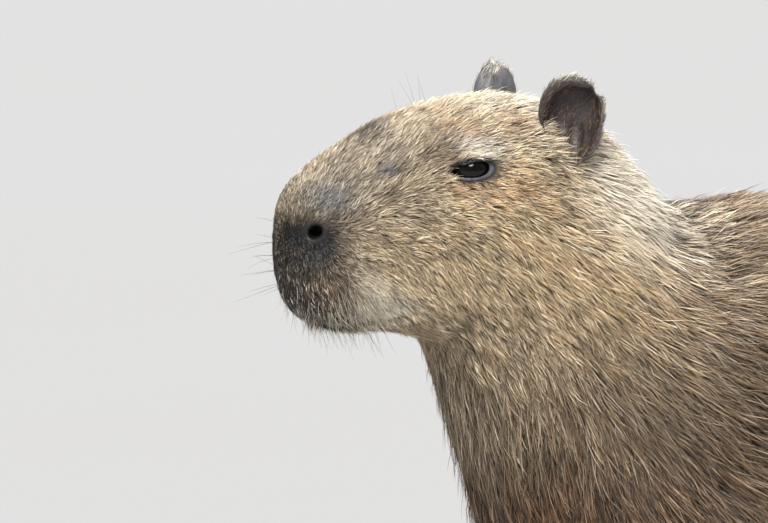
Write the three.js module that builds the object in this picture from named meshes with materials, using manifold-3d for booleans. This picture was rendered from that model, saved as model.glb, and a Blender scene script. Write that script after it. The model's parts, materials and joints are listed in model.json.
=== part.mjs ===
// A life-size standing capybara, as a still museum model. Millimetres, +Z up, the ground at z = 0, nose towards -X,
// the animal's left side towards -Y. The origin is on the ground under the middle of the animal.
//
// The body is one smooth form: lofts along X for head and torso, ellipsoids and tapered limbs, blended together.
// It is meshed piece by piece, thinned where it is flat, and parted with thin cuts where a person names a part.
import * as THREE from "three";
import { mergeVertices } from "three/addons/utils/BufferGeometryUtils.js";
import Module from "manifold-3d";

const wasm = await Module();
wasm.setup();

// ---------------------------------------------------------------- driving dimensions
const GAP = 0.3; // free play left by each thin cut
const NOSE_X = -530; // foremost point of the nose pad, on the midline
const NOSE_Z = 540; // its height above the ground
const NECK_BLEND = 26; // how softly head and neck run together
const LIMB_BLEND = 42; // how softly a limb leaves the trunk
const EYE = { x: -405, y: 44.5, z: 583.5, r: 13 };
const EAR = { x: -335, y: 59, z: 612, halfWidth: 25, depth: 15, halfHeight: 35, wall: 3.5 };
const NOSTRIL = { s: 11.5, y: 28, z: 4, radii: [5, 7.5, 5], turn: 38 }; // centre of each hollow, its size and how far it turns out
const EAR_OUT = 0.8; // sideways share of the direction the ear opens to
const EAR_FORWARD = 0.6;
const FORE_STEP = 14; // left forefoot set forward and right one back by this
const HIND_STEP = 18; // left hindfoot set back and right one forward by this

// Sections of the head, from nose to nape. s is the distance behind the nose, top, bottom and widest are heights
// relative to the nose, wide is the half width, and round is the squareness above and below the widest line.
//   s, top, bottom, wide, widest, roundTop, roundBottom
const HEAD = [
  [0, 16, -24, 15, -6, 2.2, 2.2],
  [4, 29, -39, 24, -8, 2.3, 2.5],
  [10, 36.5, -51, 31.5, -11, 2.5, 2.9],
  [20, 45, -61, 38.5, -15, 2.6, 3.3],
  [32, 54, -68, 42, -19, 2.6, 3.3],
  [50, 65, -71, 44.5, -24, 2.4, 3.0],
  [75, 78.5, -72, 49, -26, 2.3, 2.6],
  [100, 86, -77, 56, -26, 2.3, 2.5],
  [130, 92, -83, 66, -24, 2.4, 2.4],
  [160, 94, -88, 75, -20, 2.3, 2.3],
  [190, 90, -86, 79, -16, 2.2, 2.2],
  [220, 78, -76, 76, -12, 2.1, 2.1],
  [250, 52, -56, 66, -8, 2, 2],
  [270, 20, -30, 40, -5, 2, 2],
];

// Sections of neck and trunk, from throat to rump, heights above the ground.
const TORSO = [
  [115, 500, 474, 22, 486, 2, 2],
  [121, 510, 460, 40, 484, 2, 2],
  [135, 535, 427, 58, 479, 2, 2],
  [150, 555, 387, 70, 470, 2, 2],
  [164, 575, 352, 80, 460, 2, 2],
  [177, 592, 321, 88, 448, 2, 2],
  [189, 603, 289, 96, 434, 2, 2],
  [201, 607, 257, 103, 418, 2, 2],
  [221, 601, 232, 111, 402, 2, 2.1],
  [246, 583, 222, 118, 388, 2, 2.2],
  [270, 565, 217, 124, 378, 2, 2.2],
  [295, 550, 213, 128, 370, 2, 2.2],
  [325, 546, 209, 132, 364, 2.1, 2.2],
  [380, 549, 205, 136, 360, 2.1, 2.2],
  [470, 556, 201, 141, 358, 2.1, 2.2],
  [580, 565, 200, 144, 360, 2.1, 2.2],
  [700, 574, 210, 144, 370, 2.1, 2.2],
  [800, 574, 238, 139, 388, 2.1, 2.1],
  [885, 555, 268, 130, 400, 2.1, 2],
  [955, 514, 288, 112, 398, 2, 2],
  [1006, 456, 300, 86, 385, 2, 2],
  [1037, 400, 310, 55, 360, 2, 2],
  [1053, 360, 322, 24, 342, 2, 2],
];

// Limbs: from, to, radius at each end. Written for the left side, y outwards.
const FORE_LIMB = {
  shoulder: { at: [-243, 92, 368], radii: [80, 50, 122], pitch: -8 },
  bones: [
    [[-240, 92, 330], [-198, 101, 262], 60, 50],
    [[-198, 101, 262], [-228, 93, 116], 50, 34],
    [[-228, 93, 116], [-240, 92, 50], 34, 31],
  ],
};
const HIND_LIMB = {
  shoulder: { at: [345, 92, 385], radii: [118, 60, 148], pitch: 14 },
  bones: [
    [[310, 96, 345], [284, 104, 288], 70, 60],
    [[284, 104, 288], [404, 99, 152], 61, 37],
    [[404, 99, 152], [396, 99, 126], 36, 34],
    [[398, 99, 134], [346, 96, 44], 35, 31],
  ],
};
const FORE_FOOT = {
  at: [-262, 92], splay: 5, pad: { radii: [40, 32, 27], z: 18 },
  toeAngles: [-19, -6, 8, 23], toeStart: 14, toeSpread: 17.5, toeLengths: [32, 43, 42, 29],
  toeRadii: [12, 9.8], toeHeights: [10, 7.5], nail: { length: 18, base: 8, tip: 4 },
};
const HIND_FOOT = {
  at: [322, 96], splay: 6, pad: { radii: [46, 31, 26], z: 18 },
  toeAngles: [-13, 0, 14], toeStart: 20, toeSpread: 20, toeLengths: [45, 58, 44],
  toeRadii: [14, 11.5], toeHeights: [12, 9], nail: { length: 23, base: 9.6, tip: 5 },
};
const TAIL = { at: [519, 0, 370], radii: [14, 10, 10], root: 498, cut: 17 };

// Triangles kept on each piece after thinning
const KEEP = { head: 2100, ear: 380, neck: 520, trunk: 1300, foreleg: 440, hindleg: 540, forefoot: 470, hindfoot: 500 };

// ---------------------------------------------------------------- the form, as distance to its surface
const rad = (deg) => (deg * Math.PI) / 180;
const clamp = (v, lo, hi) => Math.min(hi, Math.max(lo, v));
const blendMin = (a, b, k) => {
  const h = clamp(0.5 + (0.5 * (b - a)) / k, 0, 1);
  return b + (a - b) * h - k * h * (1 - h);
};
const blendMax = (a, b, k) => -blendMin(-a, -b, k);

// Columns of a table, interpolated smoothly without overshoot
function smoothTable(rows) {
  const n = rows.length, cols = rows[0].length, slopes = rows.map(() => new Array(cols).fill(0));
  for (let c = 1; c < cols; c++) {
    const d = [];
    for (let i = 0; i < n - 1; i++) d.push((rows[i + 1][c] - rows[i][c]) / (rows[i + 1][0] - rows[i][0]));
    slopes[0][c] = d[0];
    slopes[n - 1][c] = d[n - 2];
    for (let i = 1; i < n - 1; i++) slopes[i][c] = d[i - 1] * d[i] <= 0 ? 0 : (2 * d[i - 1] * d[i]) / (d[i - 1] + d[i]);
  }
  return (s) => {
    const x = clamp(s, rows[0][0], rows[n - 1][0]);
    let i = 0;
    while (i < n - 2 && x > rows[i + 1][0]) i++;
    const w = rows[i + 1][0] - rows[i][0], t = (x - rows[i][0]) / w;
    const h00 = (1 + 2 * t) * (1 - t) ** 2, h10 = t * (1 - t) ** 2, h01 = t * t * (3 - 2 * t), h11 = t * t * (t - 1);
    return rows[i].map((v, c) => h00 * v + h10 * w * slopes[i][c] + h01 * rows[i + 1][c] + h11 * w * slopes[i + 1][c]);
  };
}

function loft(rows, lift) {
  const table = smoothTable(rows), first = rows[0][0], last = rows[rows.length - 1][0];
  return (p) => {
    const s = p.x - NOSE_X, [, top, bottom, wide, widest, up, down] = table(s);
    const dz = p.z - lift - widest, b = dz > 0 ? top - widest : widest - bottom, n = dz > 0 ? up : down;
    const share = (Math.abs(p.y / wide) ** n + Math.abs(dz / b) ** n) ** (1 / n), reach = Math.hypot(p.y, dz);
    const across = share > 1e-3 ? reach * (1 - 1 / share) : -Math.min(wide, b);
    const past = Math.max(first - s, s - last, 0);
    return past > 0 ? Math.hypot(Math.max(across, 0), past) : across;
  };
}

function ellipsoid(at, radii, pitch = 0) {
  const c = Math.cos(rad(pitch)), s = Math.sin(rad(pitch));
  return (x, y, z) => {
    const dx = x - at[0], dz = z - at[2], a = dx * c + dz * s, u = -dx * s + dz * c, v = y - at[1];
    const k0 = Math.hypot(a / radii[0], v / radii[1], u / radii[2]);
    const k1 = Math.hypot(a / radii[0] ** 2, v / radii[1] ** 2, u / radii[2] ** 2);
    return k1 < 1e-9 ? -Math.min(...radii) : (k0 * (k0 - 1)) / k1;
  };
}

function taper(from, to, r0, r1) {
  const d = to.map((v, i) => v - from[i]), ll = d[0] ** 2 + d[1] ** 2 + d[2] ** 2;
  return (x, y, z) => {
    const q = [x - from[0], y - from[1], z - from[2]];
    const t = clamp((q[0] * d[0] + q[1] * d[1] + q[2] * d[2]) / ll, 0, 1);
    return Math.hypot(q[0] - d[0] * t, q[1] - d[1] * t, q[2] - d[2] * t) - (r0 + (r1 - r0) * t);
  };
}

// Where the toes of a foot start and end, and the frame each nail sits in
function toes(foot) {
  return foot.toeAngles.map((angle, i) => {
    const n = foot.toeAngles.length, turn = rad(angle + foot.splay), spread = (i - (n - 1) / 2) * foot.toeSpread;
    const f = rad(foot.splay), fwd = [-Math.cos(f), Math.sin(f)], out = [Math.sin(f), Math.cos(f)];
    const dir = [-Math.cos(turn), Math.sin(turn)];
    const base = [
      foot.at[0] + fwd[0] * foot.toeStart + out[0] * spread,
      foot.at[1] + fwd[1] * foot.toeStart + out[1] * spread,
      foot.toeHeights[0],
    ];
    const tip = [base[0] + dir[0] * foot.toeLengths[i], base[1] + dir[1] * foot.toeLengths[i], foot.toeHeights[1]];
    return { base, tip, dir };
  });
}

function footField(foot) {
  const pad = ellipsoid([foot.at[0], foot.at[1], foot.pad.z], foot.pad.radii);
  const parts = toes(foot).map((t) => taper(t.base, t.tip, ...foot.toeRadii));
  return (x, y, z) => parts.reduce((f, part) => blendMin(f, part(x, y, z), 11), pad(x, y, z));
}

// A limb, mirrored to a side and moved a step along X. Its foot moves the whole step, its shoulder none of it.
function limb(spec, foot, side, step) {
  const mass = ellipsoid(spec.shoulder.at, spec.shoulder.radii, spec.shoulder.pitch);
  const bones = spec.bones.map((b) => taper(...b)), sole = footField(foot), top = spec.shoulder.at[2];
  return (p) => {
    const x = p.x - step * clamp(1 - p.z / top, 0, 1), y = p.y * side, z = p.z;
    let f = mass(x, y, z);
    for (const bone of bones) f = blendMin(f, bone(x, y, z), 22);
    return blendMin(f, sole(p.x - step, y, z), 12);
  };
}

// An ear is a bowl: one rounded form hollowed by another that is set towards its mouth.
function earFrame(side) {
  const mouth = new THREE.Vector3(-EAR_FORWARD, EAR_OUT * side, 0.12).normalize();
  const up = new THREE.Vector3(0.1, 0.14 * side, 1);
  up.addScaledVector(mouth, -up.dot(mouth)).normalize();
  return { centre: new THREE.Vector3(EAR.x, EAR.y * side, EAR.z), mouth, up, along: new THREE.Vector3().crossVectors(up, mouth) };
}
function ear(side) {
  const { centre, mouth, up, along } = earFrame(side), { halfWidth: w, depth: d, halfHeight: h, wall } = EAR;
  const shell = ellipsoid([0, 0, 0], [w, d, h]);
  const hollow = ellipsoid([0, 7, 2], [w - wall, d + 7 - wall, h - wall]);
  return (p) => {
    const q = p.clone().sub(centre), u = q.dot(up), a = q.dot(along) / (0.92 + (0.26 * clamp(u, -h, h)) / h), m = q.dot(mouth);
    return blendMax(shell(a, m, u), -hollow(a, m, u), 2.5);
  };
}

const headField = loft(HEAD, NOSE_Z), torsoField = loft(TORSO, 0);
const limbs = [-1, 1].flatMap((side) => [
  limb(FORE_LIMB, FORE_FOOT, side, side * FORE_STEP),
  limb(HIND_LIMB, HIND_FOOT, side, -side * HIND_STEP),
]);
const brows = [-1, 1].map((side) => ellipsoid([-404, 38 * side, 604], [34, 15, 12], 12));
const cheeks = [-1, 1].map((side) => ellipsoid([-372, 50 * side, 528], [62, 26, 48], 0));
const glandField = ellipsoid([-462, 0, 596], [24, 12, 9], 26);
const ears = [-1, 1].map(ear);
const tailField = ellipsoid(TAIL.at, TAIL.radii);

function bodyField(p) {
  let f = blendMin(torsoField(p), headField(p), NECK_BLEND);
  if (p.x < -250 && p.z > 440) {
    for (const b of brows) f = blendMin(f, b(p.x, p.y, p.z), 12);
    for (const c of cheeks) f = blendMin(f, c(p.x, p.y, p.z), 20);
    f = blendMin(f, glandField(p.x, p.y, p.z), 10);
    for (const e of ears) f = blendMin(f, e(p), 7);
  }
  for (const l of limbs) f = blendMin(f, l(p), LIMB_BLEND * clamp((p.z - 60) / 160, 0.15, 1));
  if (p.x > 440) f = blendMin(f, tailField(p.x, p.y, p.z), 6);
  return f;
}

// ---------------------------------------------------------------- meshing
// The surface of the form within a box: each cell of a grid is split into six tetrahedra round its long diagonal,
// and each tetrahedron the surface crosses gives one or two faces. Corners are numbered x + 2y + 4z.
const TETRAHEDRA = [[0, 1, 3, 7], [0, 3, 2, 7], [0, 2, 6, 7], [0, 6, 4, 7], [0, 4, 5, 7], [0, 5, 1, 7]];
// For each set of inner corners (as bits), the corners in an order that puts the inner, or the single outer, first
const ORDER = {
  1: [0, 1, 2, 3], 2: [1, 0, 3, 2], 4: [2, 3, 0, 1], 8: [3, 2, 1, 0], 3: [0, 1, 2, 3], 12: [2, 3, 0, 1],
  5: [0, 2, 3, 1], 10: [3, 1, 0, 2], 9: [0, 3, 1, 2], 6: [1, 2, 0, 3], 14: [0, 1, 2, 3], 13: [1, 0, 3, 2],
  11: [2, 3, 0, 1], 7: [3, 2, 1, 0],
};
function surfaceIn(field, low, high, step) {
  const n = [0, 1, 2].map((k) => Math.ceil((high[k] - low[k]) / step) + 1), at = (i, j, k) => (k * n[1] + j) * n[0] + i;
  const values = new Float64Array(n[0] * n[1] * n[2]), p = new THREE.Vector3();
  for (let k = 0; k < n[2]; k++) for (let j = 0; j < n[1]; j++) for (let i = 0; i < n[0]; i++) {
    const edge = i === 0 || j === 0 || k === 0 || i === n[0] - 1 || j === n[1] - 1 || k === n[2] - 1;
    const f = edge ? step : field(p.set(low[0] + i * step, low[1] + j * step, low[2] + k * step));
    values[at(i, j, k)] = Math.abs(f) < step * 0.02 ? (f < 0 ? -1 : 1) * step * 0.02 : f;
  }
  const offset = [0, 1, 2, 3, 4, 5, 6, 7].map((c) => at(c & 1, (c >> 1) & 1, c >> 2));
  const made = new Map(), points = [], faces = [];
  const pointOn = (g, base, a, b) => {
    const [lo, hi] = (a & b) === a ? [a, b] : [b, a], key = (base + offset[lo]) * 8 + (hi - lo);
    if (!made.has(key)) {
      const va = values[base + offset[lo]], t = va / (va - values[base + offset[hi]]);
      made.set(key, points.push([0, 1, 2].map((m) => low[m] + (g[m] + ((lo >> m) & 1) + t * (((hi >> m) & 1) - ((lo >> m) & 1))) * step)) - 1);
    }
    return made.get(key);
  };
  for (let k = 0; k < n[2] - 1; k++) for (let j = 0; j < n[1] - 1; j++) for (let i = 0; i < n[0] - 1; i++) {
    const base = at(i, j, k), g = [i, j, k];
    let inner = 0;
    for (let c = 0; c < 8; c++) if (values[base + offset[c]] < 0) inner++;
    if (inner === 0 || inner === 8) continue;
    for (const tet of TETRAHEDRA) {
      const bits = tet.reduce((sum, c, m) => sum + (values[base + offset[c]] < 0 ? 1 << m : 0), 0);
      if (bits === 0 || bits === 15) continue;
      const [a, b, c, d] = ORDER[bits].map((m) => tet[m]), e = (u, v) => pointOn(g, base, u, v);
      if ([1, 2, 4, 8].includes(bits)) faces.push([e(a, b), e(a, c), e(a, d)]);
      else if ([7, 11, 13, 14].includes(bits)) faces.push([e(a, b), e(a, d), e(a, c)]);
      else faces.push([e(a, c), e(a, d), e(b, d)], [e(a, c), e(b, d), e(b, c)]);
    }
  }
  return { points, faces };
}

// Thins a closed mesh by collapsing the edge that changes the surface least, until few enough faces are left.
function thin({ points, faces }, target) {
  const quadric = points.map(() => new Float64Array(10)), around = points.map(() => new Set());
  const alive = faces.map(() => true), stamp = new Uint32Array(points.length);
  const normalOf = (a, b, c) => {
    const u = [b[0] - a[0], b[1] - a[1], b[2] - a[2]], v = [c[0] - a[0], c[1] - a[1], c[2] - a[2]];
    return [u[1] * v[2] - u[2] * v[1], u[2] * v[0] - u[0] * v[2], u[0] * v[1] - u[1] * v[0]];
  };
  faces.forEach((f, id) => {
    const [a, b, c] = f.map((i) => points[i]), nn = normalOf(a, b, c), size = Math.hypot(...nn) || 1e-12;
    const [x, y, z] = nn.map((v) => v / size), d = -(x * a[0] + y * a[1] + z * a[2]);
    const q = [x * x, x * y, x * z, x * d, y * y, y * z, y * d, z * z, z * d, d * d].map((v) => v * size);
    for (const i of f) {
      around[i].add(id);
      q.forEach((v, k) => (quadric[i][k] += v));
    }
  });
  const cost = (q, [x, y, z]) =>
    q[0] * x * x + 2 * q[1] * x * y + 2 * q[2] * x * z + 2 * q[3] * x + q[4] * y * y + 2 * q[5] * y * z + 2 * q[6] * y + q[7] * z * z + 2 * q[8] * z + q[9];
  const best = (a, b) => {
    const q = quadric[a].map((v, k) => v + quadric[b][k]), pa = points[a], pb = points[b];
    const mid = pa.map((v, k) => (v + pb[k]) / 2), span = Math.hypot(...pa.map((v, k) => v - pb[k]));
    const m = new THREE.Matrix3().set(q[0], q[1], q[2], q[1], q[4], q[5], q[2], q[5], q[7]);
    let place = mid;
    if (Math.abs(m.determinant()) > 1e-7 * (q[0] + q[4] + q[7]) ** 3) {
      const s = new THREE.Vector3(-q[3], -q[6], -q[8]).applyMatrix3(m.invert());
      if (Math.hypot(s.x - mid[0], s.y - mid[1], s.z - mid[2]) < span) place = [s.x, s.y, s.z];
    }
    return { a, b, place, cost: Math.max(cost(q, place), 0) + 1e-4 * span ** 2, sa: stamp[a], sb: stamp[b] };
  };
  const heap = [];
  const push = (item) => {
    let i = heap.push(item) - 1;
    while (i > 0) {
      const up = (i - 1) >> 1;
      if (heap[up].cost <= heap[i].cost) break;
      [heap[up], heap[i]] = [heap[i], heap[up]];
      i = up;
    }
  };
  const pop = () => {
    const top = heap[0], last = heap.pop();
    if (heap.length) {
      heap[0] = last;
      for (let i = 0; ; ) {
        let low = i;
        for (const c of [2 * i + 1, 2 * i + 2]) if (c < heap.length && heap[c].cost < heap[low].cost) low = c;
        if (low === i) break;
        [heap[low], heap[i]] = [heap[i], heap[low]];
        i = low;
      }
    }
    return top;
  };
  const neighbours = (i) => {
    const found = new Set();
    for (const id of around[i]) for (const j of faces[id]) if (j !== i) found.add(j);
    return found;
  };
  points.forEach((_, i) => {
    for (const j of neighbours(i)) if (j > i) push(best(i, j));
  });
  let left = faces.length;
  while (left > target && heap.length) {
    const { a, b, place, sa, sb } = pop();
    if (stamp[a] !== sa || stamp[b] !== sb || !around[a].size || !around[b].size) continue;
    const na = neighbours(a), nb = neighbours(b);
    if (!na.has(b) || [...na].filter((i) => nb.has(i)).length !== 2) continue; // the surface stays one sheet
    let flips = false;
    for (const [from, other] of [[a, b], [b, a]]) for (const id of around[from]) {
      const f = faces[id];
      if (f.includes(other)) continue;
      const before = normalOf(...f.map((i) => points[i])), after = normalOf(...f.map((i) => (i === from ? place : points[i])));
      const dot = before[0] * after[0] + before[1] * after[1] + before[2] * after[2];
      if (dot < 0.25 * Math.hypot(...before) * Math.hypot(...after)) flips = true;
    }
    if (flips) continue;
    points[a] = place;
    quadric[b].forEach((v, k) => (quadric[a][k] += v));
    for (const id of around[b]) {
      if (faces[id].includes(a)) {
        alive[id] = false;
        left--;
        for (const i of faces[id]) around[i].delete(id);
      } else {
        faces[id] = faces[id].map((i) => (i === b ? a : i));
        around[a].add(id);
      }
    }
    around[b].clear();
    stamp[a]++;
    stamp[b]++;
    for (const j of neighbours(a)) push(best(a, j));
  }
  const used = new Map(), kept = [];
  const out = faces.filter((_, id) => alive[id]).map((f) => f.map((i) => {
    if (!used.has(i)) used.set(i, kept.push(points[i]) - 1);
    return used.get(i);
  }));
  return { points: kept, faces: out };
}

// ---------------------------------------------------------------- closed solids, cut and joined
function geometryOf({ points, faces }) {
  const g = new THREE.BufferGeometry();
  g.setAttribute("position", new THREE.Float32BufferAttribute(points.flat(), 3));
  g.setIndex(faces.flat());
  return g;
}
function solid(geometry, matrix) {
  const g = geometry.clone();
  for (const name of Object.keys(g.attributes)) if (name !== "position") g.deleteAttribute(name);
  if (matrix) g.applyMatrix4(matrix);
  const merged = mergeVertices(g, 1e-4);
  return new wasm.Manifold(new wasm.Mesh({
    numProp: 3, vertProperties: new Float32Array(merged.attributes.position.array), triVerts: new Uint32Array(merged.index.array),
  }));
}
function largest(shape) {
  return shape.decompose().sort((a, b) => b.volume() - a.volume())[0];
}
function toGeometry(shape) {
  const mesh = shape.getMesh(), g = new THREE.BufferGeometry(), v = new Float32Array(mesh.numVert * 3);
  for (let i = 0; i < mesh.numVert; i++) v.set(mesh.vertProperties.subarray(i * mesh.numProp, i * mesh.numProp + 3), i * 3);
  g.setAttribute("position", new THREE.BufferAttribute(v, 3));
  g.setIndex(new THREE.BufferAttribute(new Uint32Array(mesh.triVerts), 1));
  return g;
}
const block = (low, high) =>
  solid(
    new THREE.BoxGeometry(...high.map((v, i) => v - low[i])),
    new THREE.Matrix4().makeTranslation(...high.map((v, i) => (v + low[i]) / 2)),
  );
// Everything on the +normal side of a plane through a point, as a big block. Normals lie in the XZ plane.
function halfSpace(point, normal, shift = 0) {
  const size = 3000, angle = Math.atan2(normal[1], normal[0]);
  const m = new THREE.Matrix4().makeRotationY(-angle);
  m.setPosition(point[0] + normal[0] * shift, 0, point[1] + normal[1] * shift);
  return solid(new THREE.BoxGeometry(size, size, size), m.multiply(new THREE.Matrix4().makeTranslation(size / 2, 0, 0)));
}

// The side outline of a limb, drawn in X and Z and pushed out along Y on one side, a little smaller if shrink is set.
const FORE_OUTLINE = {
  foot: [-400, -100], belly: 190, hollow: [-150, 218], back: [-150, 322], crest: [-226, 446], front: [-306, 318], breast: [-312, 206],
};
const HIND_OUTLINE = {
  foot: [150, 560], belly: 205, hollow: [486, 268], back: [462, 392], crest: [338, 528], front: [206, 392], breast: [196, 232],
};
function limbRegion(o, side, innerY, shrink) {
  const grow = shrink ? GAP : 0, outer = 300, v = ([x, z]) => new THREE.Vector2(x, z);
  const rim = new THREE.SplineCurve([o.hollow, o.back, o.crest, o.front, o.breast].map(v)).getPoints(22);
  const line = [v([o.foot[0], -40]), v([o.foot[1], -40]), v([o.foot[1], o.belly]), ...rim, v([o.foot[0], o.belly - 8])];
  // Each corner moves inwards so that both its edges shift by the gap.
  const outline = line.map((c, i) => {
    const n = line.length, d0 = c.clone().sub(line[(i + n - 1) % n]).normalize(), d1 = line[(i + 1) % n].clone().sub(c).normalize();
    const inward = new THREE.Vector2(-d0.y - d1.y, d0.x + d1.x).normalize();
    return c.clone().addScaledVector(inward, grow / Math.max(0.3, inward.dot(new THREE.Vector2(-d0.y, d0.x))));
  });
  const flank = new THREE.ExtrudeGeometry(new THREE.Shape(outline), { depth: outer - innerY - grow, bevelEnabled: false });
  // The shape's y becomes z, and its depth runs along -y or +y.
  const m = new THREE.Matrix4().makeRotationX(Math.PI / 2);
  m.premultiply(new THREE.Matrix4().makeTranslation(0, side > 0 ? outer : -(innerY + grow), 0));
  const lower = block([o.foot[0] + grow, side > 0 ? 4 : -outer, -40], [o.foot[1] - grow, side > 0 ? outer : -4, 196 - grow]);
  return solid(flank, m).add(lower);
}

// ---------------------------------------------------------------- the pieces
const P_NECK = { point: [-275, 620], normal: [0.765, -0.644] }; // behind the ears, down to the throat
const P_TRUNK = { point: [-215, 570], normal: [0.914, -0.406] }; // withers to breast
const P_JAW = { point: [-505, 482.5], normal: [-0.03, -0.9995] }; // the line of the closed mouth
const P_WRIST = 64, P_HOCK = { point: [392, 118], normal: [-0.509, -0.861] };
const cut = (name, low, high, step, field = bodyField) => solid(geometryOf(thin(surfaceIn(field, low, high, step), KEEP[name])));
const after = (plane) => halfSpace(plane.point, plane.normal, GAP / 2);
const before = (plane) => halfSpace(plane.point, plane.normal.map((v) => -v), GAP / 2);

const colours = {
  coat: [0xb08a5a, 0.85], muzzle: [0x6a5a49, 0.8], ear: [0x4a403a, 0.7], eye: [0x140f0d, 0.12], nail: [0x2e2824, 0.45], foot: [0x6b5236, 0.85],
};
const materials = Object.fromEntries(
  Object.entries(colours).map(([name, [color, roughness]]) => [name, new THREE.MeshStandardMaterial({ color, roughness, metalness: 0 })]),
);
const capybara = new THREE.Group();
capybara.name = "capybara";
const groups = {};
function groupAt(name, x, y, z) {
  groups[name] = new THREE.Group();
  groups[name].name = name;
  groups[name].position.set(x, y, z);
  capybara.add(groups[name]);
}
groupAt("head_group", NOSE_X, 0, NOSE_Z);
groupAt("body_group", 0, 0, 0);
function place(name, shape, material, group = "body_group", origin = [0, 0, 0]) {
  const g = toGeometry(largest(shape)), home = groups[group].position;
  g.translate(-origin[0], -origin[1], -origin[2]);
  g.computeVertexNormals();
  const mesh = new THREE.Mesh(g, materials[material]);
  mesh.name = name;
  mesh.position.set(origin[0] - home.x, origin[1] - home.y, origin[2] - home.z);
  groups[group].add(mesh);
}

// Head, jaw, eyes and ears
let skull = cut("head", [-545, -112, 430], [-225, 112, 690], 5.2).intersect(before(P_NECK));
for (const side of [-1, 1]) {
  const label = side < 0 ? "left" : "right", { centre, mouth, up, along } = earFrame(side);
  const ball = (grow) => solid(
    new THREE.SphereGeometry(EYE.r + grow, 14, 10), new THREE.Matrix4().makeTranslation(EYE.x, EYE.y * side, EYE.z));
  skull = skull.subtract(ball(GAP + 0.25));
  place("eye_" + label, ball(0), "eye", "head_group", [EYE.x, EYE.y * side, EYE.z]);
  // The ear is what lies within a slightly larger rounded form, down to a plane at its root.
  const out = new THREE.Vector3(0.1, 0.6 * side, 0.79).normalize();
  const foot = centre.clone().addScaledVector(up, -21).addScaledVector(mouth, -2);
  const rootRegion = (grow) => {
    const cover = new THREE.Matrix4().makeBasis(along, mouth, up).multiply(
      new THREE.Matrix4().makeScale(-EAR.halfWidth - 7 - grow, EAR.depth + 9 + grow, EAR.halfHeight + 7 + grow));
    cover.setPosition(centre);
    const m = new THREE.Matrix4().lookAt(out, new THREE.Vector3(), new THREE.Vector3(1, 0, 0));
    m.setPosition(foot.clone().addScaledVector(out, -grow));
    const ball = new THREE.SphereGeometry(1, 18, 12), piece = solid(ball, cover);
    return piece.intersect(solid(new THREE.BoxGeometry(200, 200, 200), m.multiply(new THREE.Matrix4().makeTranslation(0, 0, 100))));
  };
  const low = [centre.x - 44, centre.y - 44, centre.z - 46], high = [centre.x + 44, centre.y + 44, centre.z + 46];
  const blade = largest(cut("ear", low, high, 2.6).intersect(rootRegion(0)));
  skull = skull.subtract(rootRegion(GAP));
  place("ear_" + label, blade, "ear", "head_group", foot.toArray());
}
for (const side of [-1, 1]) {
  const m = new THREE.Matrix4().makeTranslation(NOSE_X + NOSTRIL.s, NOSTRIL.y * side, NOSE_Z + NOSTRIL.z);
  m.multiply(new THREE.Matrix4().makeRotationZ(rad(NOSTRIL.turn * side))).multiply(new THREE.Matrix4().makeScale(...NOSTRIL.radii));
  skull = skull.subtract(solid(new THREE.SphereGeometry(1, 10, 7), m));
}
const mouthSide = (sign) => halfSpace(P_JAW.point, P_JAW.normal.map((v) => v * sign), GAP / 2);
place("lower_jaw", skull.intersect(mouthSide(1)), "muzzle", "head_group", [-440, 0, 475]);
place("head", skull.intersect(mouthSide(-1)), "coat", "head_group", [NOSE_X, 0, NOSE_Z]);

// Neck, trunk and tail
place("neck", cut("neck", [-450, -150, 200], [-170, 150, 660], 12).intersect(after(P_NECK)).intersect(before(P_TRUNK)), "coat", "body_group", [-320, 0, 460]);
let trunk = cut("trunk", [-400, -200, 150], [560, 200, 620], 15).intersect(after(P_TRUNK));
const sides = [];
for (const side of [-1, 1]) for (const [kind, o, innerY] of [["fore", FORE_OUTLINE, 52], ["hind", HIND_OUTLINE, 44]]) {
  trunk = trunk.subtract(limbRegion(o, side, innerY, false));
  sides.push([side, kind, o, innerY]);
}
const tailRoot = (grow) => solid(
  new THREE.CylinderGeometry(TAIL.cut + grow, TAIL.cut + grow, 80, 28),
  new THREE.Matrix4().makeTranslation(TAIL.root + 40 - grow, 0, TAIL.at[2]).multiply(new THREE.Matrix4().makeRotationZ(Math.PI / 2)),
);
place("tail_stub", solid(geometryOf(thin(surfaceIn(bodyField, [480, -30, 335], [550, 30, 405], 3), 300))).intersect(tailRoot(0)),
  "foot", "body_group", [TAIL.root, 0, TAIL.at[2]]);
place("trunk", trunk.subtract(tailRoot(GAP)), "coat", "body_group", [0, 0, 380]);

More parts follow.
